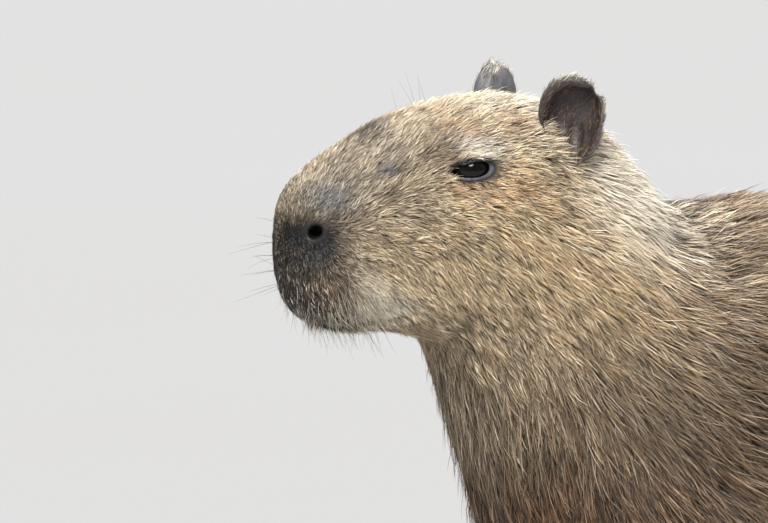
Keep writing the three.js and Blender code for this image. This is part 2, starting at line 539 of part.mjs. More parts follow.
// Legs, feet and nails
for (const [side, kind, o, innerY] of sides) {
  const fore = kind === "fore", foot = fore ? FORE_FOOT : HIND_FOOT, label = kind + "_" + (side < 0 ? "left" : "right");
  const step = side * (fore ? FORE_STEP : -HIND_STEP), lowY = side < 0 ? -230 : 0, highY = side < 0 ? 0 : 230;
  const xs = fore ? [-420, -110] : [150, 560];
  const leg = cut(kind + "leg", [xs[0], lowY, 20], [xs[1], highY, 560], 10).intersect(limbRegion(o, side, innerY, true));
  const sole = cut(kind + "foot", [xs[0], lowY, -22], [xs[1], highY, 190], 4.2).intersect(limbRegion(o, side, innerY, true));
  const upper = fore ? block([-600, -400, P_WRIST + GAP / 2], [600, 400, 900]) : halfSpace(P_HOCK.point, [0.509, 0.861], GAP / 2);
  const under = (fore ? block([-600, -400, -50], [600, 400, P_WRIST - GAP / 2]) : halfSpace(P_HOCK.point, P_HOCK.normal, GAP / 2))
    .intersect(block([-900, -400, 0], [900, 400, 400])); // flat soles on the ground
  place((fore ? "foreleg_" : "hindleg_") + label.split("_")[1], leg.intersect(upper), "coat", "body_group", [foot.at[0], foot.at[1] * side, 120]);
  let paw = sole.intersect(under);
  toes(foot).forEach((toe, i) => {
    const { length, base, tip } = foot.nail, turn = Math.atan2(toe.dir[1] * side, toe.dir[0]);
    // A blunt hoof-like nail: a turned profile, flattened from above, lying along the toe and dipping to the ground.
    const profile = (grow) => [
      [0, -4 - grow], [base * 0.8 + grow, -3 - grow], [base + grow, 2], [base * 0.93 + grow, length * 0.45],
      [base * 0.72 + grow, length * 0.75], [tip + grow, length * 0.95 + grow], [0, length + grow],
    ].map(([r, y]) => new THREE.Vector2(r, y));
    const nail = (grow) => {
      const m = new THREE.Matrix4().makeTranslation(toe.tip[0] + step, toe.tip[1] * side, toe.tip[2] - 0.5);
      m.multiply(new THREE.Matrix4().makeRotationZ(turn)).multiply(new THREE.Matrix4().makeRotationY(rad(13)));
      m.multiply(new THREE.Matrix4().makeScale(1, 1, 0.86)).multiply(new THREE.Matrix4().makeRotationZ(-Math.PI / 2));
      return solid(new THREE.LatheGeometry(profile(grow), 8), m).intersect(block([-900, -400, 0.4 - grow], [900, 400, 80]));
    };
    paw = paw.subtract(nail(GAP));
    place(`claw_${label}_${i + 1}`, nail(0), "nail", "body_group", [toe.tip[0] + step, toe.tip[1] * side, toe.tip[2]]);
  });
  place((fore ? "forefoot_" : "hindfoot_") + label.split("_")[1], paw, "foot", "body_group", [foot.at[0] + step, foot.at[1] * side, 0]);
}

export default capybara;
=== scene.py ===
"""A life-size standing capybara: skin, coat, eyes, nails and whiskers, on a pale floor in soft light.

The skin is the surface of one form built from the same named sizes as the solids, lying inside them by the depth of
the coat. The coat is a great many thin tapered tufts rooted on it, combed along a field of named directions.
Lengths here are in millimetres until a mesh is made.
"""

import json
import math

import bpy
import numpy as np
from mathutils import Matrix, Vector

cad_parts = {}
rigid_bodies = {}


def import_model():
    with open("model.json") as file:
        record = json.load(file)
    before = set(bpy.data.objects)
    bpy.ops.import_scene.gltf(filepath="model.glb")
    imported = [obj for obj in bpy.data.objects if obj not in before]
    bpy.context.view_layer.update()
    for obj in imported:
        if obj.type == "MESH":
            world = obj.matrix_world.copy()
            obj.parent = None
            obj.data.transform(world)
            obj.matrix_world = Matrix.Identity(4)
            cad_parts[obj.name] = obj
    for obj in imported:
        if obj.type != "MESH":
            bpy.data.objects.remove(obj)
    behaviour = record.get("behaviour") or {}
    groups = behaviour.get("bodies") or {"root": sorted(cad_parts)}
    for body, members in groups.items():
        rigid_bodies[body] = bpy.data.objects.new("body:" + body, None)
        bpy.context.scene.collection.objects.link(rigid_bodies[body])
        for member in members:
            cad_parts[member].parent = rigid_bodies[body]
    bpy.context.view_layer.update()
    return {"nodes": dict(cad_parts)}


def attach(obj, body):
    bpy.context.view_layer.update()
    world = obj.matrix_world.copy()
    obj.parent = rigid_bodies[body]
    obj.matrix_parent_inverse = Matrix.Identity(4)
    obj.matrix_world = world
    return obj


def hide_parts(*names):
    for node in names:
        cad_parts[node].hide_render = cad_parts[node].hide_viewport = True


for ob in list(bpy.data.objects):
    bpy.data.objects.remove(ob)
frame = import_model()
rng = np.random.default_rng(20)
F = np.float32

# ---------------------------------------------------------------- the form
NOSE_X, NOSE_Z = -530.0, 540.0
HEAD = [
    [0, 16, -24, 15, -6, 2.2, 2.2],
    [4, 29, -39, 24, -8, 2.3, 2.5],
    [10, 36.5, -51, 31.5, -11, 2.5, 2.9],
    [20, 45, -61, 38.5, -15, 2.6, 3.3],
    [32, 54, -68, 42, -19, 2.6, 3.3],
    [50, 65, -71, 44.5, -24, 2.4, 3.0],
    [75, 78.5, -72, 49, -26, 2.3, 2.6],
    [100, 86, -77, 56, -26, 2.3, 2.5],
    [130, 92, -83, 66, -24, 2.4, 2.4],
    [160, 94, -88, 75, -20, 2.3, 2.3],
    [190, 90, -86, 79, -16, 2.2, 2.2],
    [220, 78, -76, 76, -12, 2.1, 2.1],
    [250, 52, -56, 66, -8, 2, 2],
    [270, 20, -30, 40, -5, 2, 2],
]
TORSO = [
    [115, 500, 474, 22, 486, 2, 2],
    [121, 510, 460, 40, 484, 2, 2],
    [135, 535, 427, 58, 479, 2, 2],
    [150, 555, 387, 70, 470, 2, 2],
    [164, 575, 352, 80, 460, 2, 2],
    [177, 592, 321, 88, 448, 2, 2],
    [189, 603, 289, 96, 434, 2, 2],
    [201, 607, 257, 103, 418, 2, 2],
    [221, 601, 232, 111, 402, 2, 2.1],
    [246, 583, 222, 118, 388, 2, 2.2],
    [270, 565, 217, 124, 378, 2, 2.2],
    [295, 550, 213, 128, 370, 2, 2.2],
    [325, 546, 209, 132, 364, 2.1, 2.2],
    [380, 549, 205, 136, 360, 2.1, 2.2],
    [470, 556, 201, 141, 358, 2.1, 2.2],
    [580, 565, 200, 144, 360, 2.1, 2.2],
    [700, 574, 210, 144, 370, 2.1, 2.2],
    [800, 574, 238, 139, 388, 2.1, 2.1],
    [885, 555, 268, 130, 400, 2.1, 2],
    [955, 514, 288, 112, 398, 2, 2],
    [1006, 456, 300, 86, 385, 2, 2],
    [1037, 400, 310, 55, 360, 2, 2],
    [1053, 360, 322, 24, 342, 2, 2],
]
EYE = np.array([-405.0, 44.5, 583.5])
EYE_R = 13.0
EAR = dict(x=-335.0, y=59.0, z=612.0, w=25.0, d=15.0, h=35.0, wall=3.5)
EAR_OUT, EAR_FORWARD = 0.8, 0.6
NOSTRIL = dict(s=11.5, y=28.0, z=4.0)
FORE_LIMB = dict(
    at=(-243, 92, 368), radii=(80, 50, 122), pitch=-8,
    bones=[((-240, 92, 330), (-198, 101, 262), 60, 50), ((-198, 101, 262), (-228, 93, 116), 50, 34), ((-228, 93, 116), (-240, 92, 50), 34, 31)],
)
HIND_LIMB = dict(
    at=(345, 92, 385), radii=(118, 60, 148), pitch=14,
    bones=[
        ((310, 96, 345), (284, 104, 288), 70, 60), ((284, 104, 288), (404, 99, 152), 61, 37),
        ((404, 99, 152), (396, 99, 126), 36, 34), ((398, 99, 134), (346, 96, 44), 35, 31),
    ],
)
FORE_FOOT = dict(at=(-262, 92), splay=5, pad=(40, 32, 27, 18), angles=(-19, -6, 8, 23), start=14, spread=17.5, lengths=(32, 43, 42, 29), radii=(12, 9.8), heights=(10, 7.5))
HIND_FOOT = dict(at=(322, 96), splay=6, pad=(46, 31, 26, 18), angles=(-13, 0, 14), start=20, spread=20, lengths=(45, 58, 44), radii=(14, 11.5), heights=(12, 9))
FORE_STEP, HIND_STEP = 14, 18
TAIL = dict(at=(519, 0, 370), radii=(14, 10, 10))


def smin(a, b, k):
    h = np.clip(0.5 + 0.5 * (b - a) / k, 0, 1)
    return b + (a - b) * h - k * h * (1 - h)


def smax(a, b, k):
    return -smin(-a, -b, k)


def mix(a, b, w):
    return a + (b - a) * w


def step(x, lo, hi):
    t = np.clip((x - lo) / (hi - lo), 0, 1)
    return t * t * (3 - 2 * t)


def table(rows):
    """Columns interpolated smoothly along the first one, ready to read at many places."""
    rows = np.array(rows, float)
    s, v = rows[:, 0], rows[:, 1:]
    d = np.diff(v, axis=0) / np.diff(s)[:, None]
    m = np.zeros_like(v)
    m[0], m[-1] = d[0], d[-1]
    prod, total = d[:-1] * d[1:], d[:-1] + d[1:]
    m[1:-1] = np.where(prod <= 0, 0, 2 * prod / np.where(total == 0, 1, total))
    x = np.linspace(s[0], s[-1], int((s[-1] - s[0]) * 2) + 1)
    i = np.clip(np.searchsorted(s, x, side="right") - 1, 0, len(s) - 2)
    w = (s[i + 1] - s[i])[:, None]
    t = ((x - s[i])[:, None]) / w
    y = (1 + 2 * t) * (1 - t) ** 2 * v[i] + t * (1 - t) ** 2 * w * m[i] + t * t * (3 - 2 * t) * v[i + 1] + t * t * (t - 1) * w * m[i + 1]
    y = y.astype(F)
    lo, hi = F(s[0]), F(s[-1])

    def at(q):
        g = (np.clip(q, lo, hi) - lo) * F(2)
        k = np.minimum(g.astype(np.int32), len(x) - 2)
        f = g - k
        return [y[k, c] + (y[k + 1, c] - y[k, c]) * f for c in range(6)]

    return at, lo, hi


def loft(rows, lift):
    at, lo, hi = table(rows)

    def field(x, y, z):
        s = x - NOSE_X
        top, bottom, wide, widest, up, down = at(s)
        dz = z - lift - widest
        above = dz > 0
        b = np.where(above, top - widest, widest - bottom)
        n = np.where(above, up, down)
        share = (np.abs(y / wide) ** n + np.abs(dz / b) ** n) ** (1 / n)
        across = np.hypot(y, dz) * (1 - 1 / np.maximum(share, 1e-3))
        past = np.maximum(np.maximum(lo - s, s - hi), 0)
        return np.where(past > 0, np.hypot(np.maximum(across, 0), past), across)

    return field


def ellipsoid(at, radii, pitch=0.0):
    c, s = math.cos(math.radians(pitch)), math.sin(math.radians(pitch))

    def field(x, y, z):
        dx, dz, v = x - at[0], z - at[2], y - at[1]
        a, u = dx * c + dz * s, -dx * s + dz * c
        k0 = np.sqrt((a / radii[0]) ** 2 + (v / radii[1]) ** 2 + (u / radii[2]) ** 2)
        k1 = np.sqrt((a / radii[0] ** 2) ** 2 + (v / radii[1] ** 2) ** 2 + (u / radii[2] ** 2) ** 2)
        return k0 * (k0 - 1) / np.maximum(k1, 1e-6)

    return field


def taper(p, q, r0, r1):
    d = [b - a for a, b in zip(p, q)]
    ll = sum(v * v for v in d)

    def field(x, y, z):
        a, b, c = x - p[0], y - p[1], z - p[2]
        t = np.clip((a * d[0] + b * d[1] + c * d[2]) / ll, 0, 1)
        return np.sqrt((a - d[0] * t) ** 2 + (b - d[1] * t) ** 2 + (c - d[2] * t) ** 2) - (r0 + (r1 - r0) * t)

    return field


def toes(foot):
    f = math.radians(foot["splay"])
    out = []
    for i, angle in enumerate(foot["angles"]):
        turn, spread = math.radians(angle + foot["splay"]), (i - (len(foot["angles"]) - 1) / 2) * foot["spread"]
        base = (
            foot["at"][0] - math.cos(f) * foot["start"] + math.sin(f) * spread,
            foot["at"][1] + math.sin(f) * foot["start"] + math.cos(f) * spread,
            foot["heights"][0],
        )
        tip = (base[0] - math.cos(turn) * foot["lengths"][i], base[1] + math.sin(turn) * foot["lengths"][i], foot["heights"][1])
        out.append((base, tip))
    return out


def limb(spec, foot, side, shift):
    mass = ellipsoid(spec["at"], spec["radii"], spec["pitch"])
    bones = [taper(*b) for b in spec["bones"]]
    rx, ry, rz, pz = foot["pad"]
    pad = ellipsoid((foot["at"][0], foot["at"][1], pz), (rx, ry, rz))
    digits = [taper(b, t, *foot["radii"]) for b, t in toes(foot)]
    top = spec["at"][2]

    def field(x, y, z):
        xs, ys = x - shift * np.clip(1 - z / top, 0, 1), y * side
        f = mass(xs, ys, z)
        for b in bones:
            f = smin(f, b(xs, ys, z), 22)
        low = np.flatnonzero(z < 130)
        if len(low):
            lx, ly, lz = x[low] - shift, ys[low], z[low]
            g = pad(lx, ly, lz)
            for d in digits:
                g = smin(g, d(lx, ly, lz), 11)
            f[low] = smin(f[low], g, 12)
        return f

    return field


def unit(v):
    v = np.asarray(v, float)
    return v / np.linalg.norm(v)


def ear_frame(side):
    mouth = unit((-EAR_FORWARD, EAR_OUT * side, 0.12))
    up = np.array([0.1, 0.14 * side, 1.0])
    up = unit(up - mouth * up.dot(mouth))
    return np.array([EAR["x"], EAR["y"] * side, EAR["z"]]), mouth, up, np.cross(up, mouth)


def ear_coords(x, y, z, side):
    """Across, towards the mouth and up, in an ear's own frame. Across is positive towards the nape."""
    c, mouth, up, along = ear_frame(side)
    d = (x - c[0], y - c[1], z - c[2])
    u = sum(a * b for a, b in zip(d, up))
    back = along * (1 if along[0] > 0 else -1)
    a = sum(p * q for p, q in zip(d, back)) / (0.92 + 0.26 * np.clip(u, -EAR["h"], EAR["h"]) / EAR["h"])
    low = np.clip((4 - u) / EAR["h"], 0, 1)
    return a * (1 + 0.5 * low * low) - 9.0 * low, sum(p * q for p, q in zip(d, mouth)), u


def ear(side, inset):
    w, d, h, wall = EAR["w"], EAR["d"], EAR["h"], EAR["wall"]
    shell, hollow = ellipsoid((0, 0, 0), (w, d, h)), ellipsoid((0, 7, 2), (w - wall, d + 7 - wall, h - wall))

    def field(x, y, z):
        a, m, u = ear_coords(x, y, z, side)
        # The rim rolls in a little at the top and back, and ridges run up the inside.
        ridge = 1.6 * np.exp(-(((a + 5 - 0.25 * u) / 4) ** 2)) * step(u, -26, -4) * step(20 - u, 0, 16) + 1.2 * np.exp(-(((a - 9 + 0.1 * u) / 3) ** 2)) * step(u, -24, -6) * step(12 - u, 0, 14)
        notch = 2.6 * np.exp(-(((a - 13.5) / 3.2) ** 2) - ((u - 29) / 4) ** 2)
        bowl = smax(shell(a, m, u) + inset + notch, -hollow(a, m, u) + inset - ridge, 1.6)
        # the folded rim: a roll round the front and the top, thickest high on the front, gone by the back
        turn = np.arctan2(u / h, a / w)
        turn = np.where(turn < -1.4, turn + 2 * math.pi, turn)
        fold = step(turn, 0.95, 1.5) * (1 - step(turn, 2.9, 3.5))
        rim = np.hypot(a / (w - 3.2), u / (h - 3.0))
        roll = np.hypot((rim - 1) * 24, m - 4.5) - (3.6 + 0.5 * np.sin(3 * turn + 1)) * fold
        return smin(bowl, np.where(fold > 0.02, roll + inset, 30), 1.4)

    return field


head_field, torso_field = loft(HEAD, NOSE_Z), loft(TORSO, 0)
limbs = [
    (xs, limb(spec, foot, side, side * st))
    for side in (-1, 1)
    for spec, foot, st, xs in ((FORE_LIMB, FORE_FOOT, FORE_STEP, (-400, -90)), (HIND_LIMB, HIND_FOOT, -HIND_STEP, (140, 540)))
]
brow_fields = [ellipsoid((-404, 38 * s, 604), (34, 15, 12), 12) for s in (-1, 1)]
cheek_fields = [ellipsoid((-372, 50 * s, 528), (62, 26, 48)) for s in (-1, 1)]
gland_field = ellipsoid((-462, 0, 596), (24, 12, 9), 26)
tail_field = ellipsoid(TAIL["at"], TAIL["radii"])
ear_fields = [ear(s, 0.6) for s in (-1, 1)]


def eye_frame(side):
    """The way an eye looks, and the directions to the back of the head and up within its lids."""
    n = unit((-0.22, 0.95 * side, 0.2))
    v = np.array([0.0, 0, 1.0])
    v = unit(v - n * v.dot(n))
    u = np.array([1.0, 0, 0])
    u = unit(u - n * u.dot(n) - v * u.dot(v))
    return n, u, v


def eye_coords(x, y, z):
    """Back, up and out from the nearer eye's centre, the two sides being mirror images."""
    n, u, v = eye_frame(1)
    d = (x - EYE[0], np.abs(y) - EYE[1], z - EYE[2])
    return [sum(a * b for a, b in zip(d, w)) for w in (u, v, n)]


def lid_opening(a, b):
    """Signed distance, roughly, to the edge of the opening between the lids: a low flat top, a rounder bottom."""
    k = np.sqrt(((a + 2.4) / 13.0) ** 2 + ((b - 0.7) / 7.1) ** 2)
    oval = (k - 1) * 8.4
    top = b - 4.2 - 0.15 * a + 0.016 * a * a
    return smax(oval, top, 1.2)


def canthus(a, b):
    t = np.clip((a + 20) / 8.0, 0, 1)
    return np.hypot(a - (-20 + 8.0 * t), b - (-1.2 + 1.2 * t)) - mix(2.4, 4.2, t)


def mouth_height(s):
    """Height of the mouth line above the nose level, against distance from the nose."""
    return np.interp(s, [8, 22, 40, 60, 78, 95], [-57, -60.5, -60.0, -57.0, -53.0, -50.0])


def coat_depth(x, y, z):
    """How far the skin lies inside the tips of the coat."""
    s, h = x - NOSE_X, z - NOSE_Z
    d = np.interp(s, [0, 12, 30, 60, 100, 150, 200, 260, 330, 450, 900, 1060], [1.2, 2.0, 3.4, 4.2, 4.8, 5.2, 6.0, 7.0, 9, 11, 11, 10])
    lip = step(70 - s, 0, 30) * step(-h, 10, 40)
    d = mix(d, 2.0, lip)
    leg = 1 - step(z, 60, 250)
    d = mix(d, np.interp(z, [0, 30, 90, 160], [0.6, 1.0, 2.4, 5.0]), leg)
    a, b, c = eye_coords(x, y, z)
    near = np.exp(-((a / 26) ** 2 + (b / 20) ** 2 + (np.minimum(c, 0) / 30) ** 2))
    d = mix(d, 2.4, near)
    tail = step(x, 500, 515) * np.exp(-((y / 16) ** 2 + ((z - 370) / 16) ** 2))
    return mix(d, 1.0, tail)


def skin_field(P):
    x, y, z = (np.ascontiguousarray(P[:, i], dtype=F) for i in range(3))
    f = torso_field(x, y, z)
    fore = np.flatnonzero((x < -235) & (z > 425))
    if len(fore):
        f[fore] = smin(f[fore], head_field(x[fore], y[fore], z[fore]), 26)
    near = np.flatnonzero((x < -280) & (z > 450))
    if len(near):
        X = (x[near], y[near], z[near])
        g = f[near]
        for b in brow_fields:
            g = smin(g, b(*X), 12)
        for c in cheek_fields:
            g = smin(g, c(*X), 20)
        f[near] = smin(g, gland_field(*X), 10)
    blend = (42 * np.clip((z - 60) / 160, 0.15, 1)).astype(F)
    for (lo, hi), part in limbs:
        k = np.flatnonzero((x > lo - 20) & (x < hi + 20) & (z < 585))
        if len(k):
            f[k] = smin(f[k], part(x[k], y[k], z[k]), blend[k])
    k = np.flatnonzero(x > 440)
    if len(k):
        f[k] = smin(f[k], tail_field(x[k], y[k], z[k]), 6)
    f = f + coat_depth(x, y, z).astype(F)
    k = np.flatnonzero((x > -385) & (x < -285) & (z > 550))
    if len(k):
        X = (x[k], y[k], z[k])
        g = f[k]
        for e in ear_fields:
            g = smin(g, e(*X), 6)
        f[k] = g
    face = np.flatnonzero((x < -340) & (z > 440))
    if len(face):
        f[face] = carve_face(f[face], x[face], y[face], z[face])
    return np.maximum(f, 0.3 - z)


def carve_face(f, x, y, z):
    s, h, ya = x - NOSE_X, z - NOSE_Z, np.abs(y)
    # Lips: a groove at the closed mouth, the lower lip set back under the upper one, and the split below the nose
    line = h - mouth_height(s)
    run = step(s, 2, 9) * step(88 - s, 0, 12)
    f = f + run * (2.6 * np.exp(-((line / 1.5) ** 2)) + 0.9 * step(-line, 0, 4) * step(14 + line, 0, 10))
    f = f + 1.8 * np.exp(-((y / 1.5) ** 2)) * step(30 - s, 0, 16) * step(-h, 4, 14) * step(62 + h, 0, 8)
    # Nose pad: a slight flat between the nostrils, and a low swelling of the whisker beds on each side
    f = f + 0.8 * np.exp(-((ya / 12) ** 2) - ((h - 2) / 14) ** 2) * step(26 - s, 0, 16)
    f = f - 1.6 * np.exp(-(((s - 30) / 20) ** 2) - ((h + 28) / 20) ** 2) * step(ya, 14, 30)
    # Nostrils: a slanted slit that opens to the side, with a soft raised rim above and behind
    ds, dy, dh = s - NOSTRIL["s"], ya - NOSTRIL["y"], h - NOSTRIL["z"]
    c, t = math.cos(math.radians(38)), math.sin(math.radians(38))
    across, out = ds * c + dy * t, -ds * t + dy * c
    ring = np.sqrt((across / 8.0) ** 2 + ((dh - 0.15 * across) / 7.6) ** 2 + (out / 12) ** 2)
    f = f - 1.5 * np.exp(-(((ring - 1.0) / 0.36) ** 2))
    hole = np.sqrt(((across + 0.2) / 4.9) ** 2 + ((dh - 0.2 * across) / 4.6) ** 2 + (out / 11.5) ** 2)
    f = smax(f, -(hole - 1) * 4.0, 1.8)
    # a groove runs forward and down from each nostril to the split
    f = f + 0.9 * np.exp(-(((dh + 3 + 0.45 * (across + 9)) / 1.6) ** 2)) * step(across, -19, -13) * step(-5 - across, 0, 3)
    # Eyes: lids that stand a little proud of the cheek, opened by a slit, around a round socket
    a, b, o = eye_coords(x, y, z)
    r = np.sqrt(a * a + b * b + o * o)
    f = smin(f, np.where(o > -6, r - (EYE_R + 1.9), 40), 6.0)
    opening = lid_opening(a, b)
    front = step(o, 1, 5)
    # a fold above the upper lid, and a bag below the lower one
    f = f + front * 1.1 * np.exp(-(((b - 10.5 - 0.1 * a) / 1.7) ** 2)) * step(20 - np.abs(a), 0, 8)
    f = f + front * 0.8 * np.exp(-(((np.hypot(a / 1.35, b - 3) - 15.5) / 1.6) ** 2)) * step(-b, 0, 5) * step(19 - np.abs(a), 0, 8)
    f = smax(f, np.where(o > 2, -opening, -40), 1.2)
    f = f + front * 1.2 * (1 - step(canthus(a, b), -2.4, 0.4)) * step(o, 3, 7)
    return np.maximum(f, -(r - EYE_R - 0.25))


# ---------------------------------------------------------------- the skin's surface
def ticks(*runs):
    """Grid lines from (start, end, spacing) runs that follow on from each other."""
    out = [runs[0][0]]
    for lo, hi, st in runs:
        n = max(1, round((hi - lo) / st))
        out += list(np.linspace(lo, hi, n + 1)[1:])
    while (len(out) - 1) % 4:
        out.append(out[-1] + runs[-1][2])
    return np.array(out)


def eased(lo, hi, st0, st1):
    """Spacing that grows or shrinks steadily from st0 to st1."""
    n = max(2, round(2 * abs(hi - lo) / (st0 + st1)))
    w = np.linspace(st0, st1, n)
    x = lo + np.cumsum(w) / w.sum() * (hi - lo)
    return [(a, b, b - a) for a, b in zip([lo, *x[:-1]], x)]


K = 1.0
gx = ticks((-541, -430, 1.8 * K), (-430, -380, 1.25 * K), (-380, -366, 1.8 * K), (-366, -302, 1.25 * K), *eased(-302, -235, 2, 7), (-235, 541, 7))
half = ticks((0, 30, 1.9 * K), (30, 86, 1.3 * K), *eased(86, 110, 2, 4.6), (110, 182, 4.6))
gy = np.concatenate([-half[:0:-1], half])
gz = ticks((-3, 66, 2.4), *eased(66, 100, 2.6, 7), (100, 420, 7), *eased(420, 445, 7, 2), (445, 562, 1.9 * K), (562, 654, 1.25 * K))


def sample():
    """The field on the grid, worked out fully only near the surface."""
    nx, ny, nz = len(gx), len(gy), len(gz)
    cx, cy, cz = gx[::4], gy[::4], gz[::4]
    X, Y, Z = np.meshgrid(cx, cy, cz, indexing="ij")
    C = skin_field(np.stack([X.ravel(), Y.ravel(), Z.ravel()], 1)).reshape(X.shape)
    size = np.sqrt(np.diff(cx)[:, None, None] ** 2 + np.diff(cy)[None, :, None] ** 2 + np.diff(cz)[None, None, :] ** 2)
    corners = [C[i : i + len(cx) - 1, j : j + len(cy) - 1, k : k + len(cz) - 1] for i in (0, 1) for j in (0, 1) for k in (0, 1)]
    low, high = np.minimum.reduce(corners), np.maximum.reduce(corners)
    live = (np.minimum(np.abs(low), np.abs(high)) < size * 0.85 + 2.5) | (low * high < 0)
    fine = np.zeros((nx, ny, nz), bool)
    for i in range(5):
        for j in range(5):
            for k in range(5):
                fine[i : i + nx - 1 - 3 : 4, j : j + ny - 1 - 3 : 4, k : k + nz - 1 - 3 : 4] |= live
    V = np.full((nx, ny, nz), 50, F)
    blockwise = np.repeat(np.repeat(np.repeat(np.where(C[:-1, :-1, :-1] > 0, 50, -50).astype(F), 4, 0), 4, 1), 4, 2)
    V[:-1, :-1, :-1] = blockwise
    i, j, k = np.nonzero(fine)
    P = np.stack([gx[i], gy[j], gz[k]], 1).astype(F)
    for a in range(0, len(P), 400000):
        e = slice(a, a + 400000)
        V[i[e], j[e], k[e]] = skin_field(P[e])
    V[V == 0] = 1e-4
    return V


def gradient(P, e=0.35):
    f0 = skin_field(P)
    g = np.stack([skin_field(P + np.array(d, F) * F(e)) - f0 for d in ((1, 0, 0), (0, 1, 0), (0, 0, 1))], 1) / e
    return f0, g


def skin_surface():
    V = sample()
    outside = V > 0
    n = V.shape
    cells = [outside[i : n[0] - 1 + i, j : n[1] - 1 + j, k : n[2] - 1 + k] for i in (0, 1) for j in (0, 1) for k in (0, 1)]
    count = sum(c.astype(np.int8) for c in cells)
    i, j, k = np.nonzero((count > 0) & (count < 8))
    ident = np.full((n[0] - 1, n[1] - 1, n[2] - 1), -1, np.int32)
    ident[i, j, k] = np.arange(len(i))
    corner = [(a, b, c) for a in (0, 1) for b in (0, 1) for c in (0, 1)]
    vals = {c: V[i + c[0], j + c[1], k + c[2]] for c in corner}
    total, hits = np.zeros((len(i), 3)), np.zeros(len(i))
    for c in corner:
        for axis in range(3):
            if c[axis]:
                continue
            d = tuple(v + (m == axis) for m, v in enumerate(c))
            a, b = vals[c], vals[d]
            cross = (a > 0) != (b > 0)
            t = np.where(cross, a / np.where(cross, a - b, 1), 0)
            pos = np.array(c, float)[None, :].repeat(len(i), 0)
            pos[:, axis] += t
            total += pos * cross[:, None]
            hits += cross
    u = total / hits[:, None]
    lo = np.stack([gx[i], gy[j], gz[k]], 1)
    span = np.stack([gx[i + 1], gy[j + 1], gz[k + 1]], 1) - lo
    P = lo + u * span
    quads = []
    for axis in range(3):
        p, q = (axis + 1) % 3, (axis + 2) % 3
        here = outside[tuple(slice(0, -1) if m == axis else slice(1, -1) for m in range(3))]
        nxt = outside[tuple(slice(1, None) if m == axis else slice(1, -1) for m in range(3))]
        e = np.stack(np.nonzero(here != nxt), 1)
        e[:, [p, q]] += 1
        flip = here[here != nxt]
        ring = []
        for dp, dq in ((0, 0), (-1, 0), (-1, -1), (0, -1)):
            g = e.copy()
            g[:, p] += dp
            g[:, q] += dq
            ring.append(ident[g[:, 0], g[:, 1], g[:, 2]])
        ring = np.stack(ring, 1)
        ring[flip] = ring[flip][:, ::-1]
        quads.append(ring)
    quads = np.concatenate(quads)
    quads = quads[(quads >= 0).all(1)]
    reach = span.min(1) * 0.45
    for _ in range(2):
        f, g = gradient(P.astype(F))
        gg = (g * g).sum(1)
        move = np.clip(f / np.maximum(gg, 0.05), -reach, reach)
        P = P - g * move[:, None]
    _, g = gradient(P.astype(F))
    N = g / np.maximum(np.linalg.norm(g, axis=1), 1e-6)[:, None]
    return P, N, quads


# ---------------------------------------------------------------- noise and named colours
def lattice(P, seed):
    """Smooth noise from 0 to 1 that repeats every run."""
    q = np.floor(P).astype(np.int64)
    f = P - q
    f = f * f * (3 - 2 * f)
    out = np.zeros(len(P))
    for a in (0, 1):
        for b in (0, 1):
            for c in (0, 1):
                h = (q[:, 0] + a) * 374761393 + (q[:, 1] + b) * 668265263 + (q[:, 2] + c) * 2147483647 + seed * 144665
                h = (h ^ (h >> 13)) * 1274126177 & 0x7FFFFFFF
                h = (h ^ (h >> 16)) & 0xFFFF
                w = (f[:, 0] if a else 1 - f[:, 0]) * (f[:, 1] if b else 1 - f[:, 1]) * (f[:, 2] if c else 1 - f[:, 2])
                out += w * (h / 65535.0)
    return out


def cloud(P, size, seed, stretch=(1, 1, 1)):
    Q = P / size / np.array(stretch)
    return 0.6 * lattice(Q, seed) + 0.4 * lattice(Q * 2.3 + 7.7, seed + 1)


def linear(rgb):
    c = np.array(rgb, float) / 255
    return np.where(c <= 0.04045, c / 12.92, ((c + 0.055) / 1.055) ** 2.4)


TAN, GOLD, CREAM, GINGER = linear((196, 172, 138)), linear((206, 174, 126)), linear((238, 228, 210)), linear((192, 142, 88))
GREY_TAN, ASH, SOOT, BLACK = linear((176, 166, 150)), linear((146, 144, 140)), linear((64, 57, 50)), linear((42, 40, 39))
BROWN, UMBER, RUST, SAND = linear((156, 128, 98)), linear((84, 64, 46)), linear((152, 108, 74)), linear((180, 156, 122))
THROAT, SLATE, FOOT, BONE = linear((160, 143, 120)), linear((84, 88, 98)), linear((70, 57, 46)), linear((226, 216, 198))
CHEST_BROWN_AND_SHADE, SHADE, STRAW = linear((84, 60, 40)), linear((118, 94, 68)), linear((224, 206, 176))

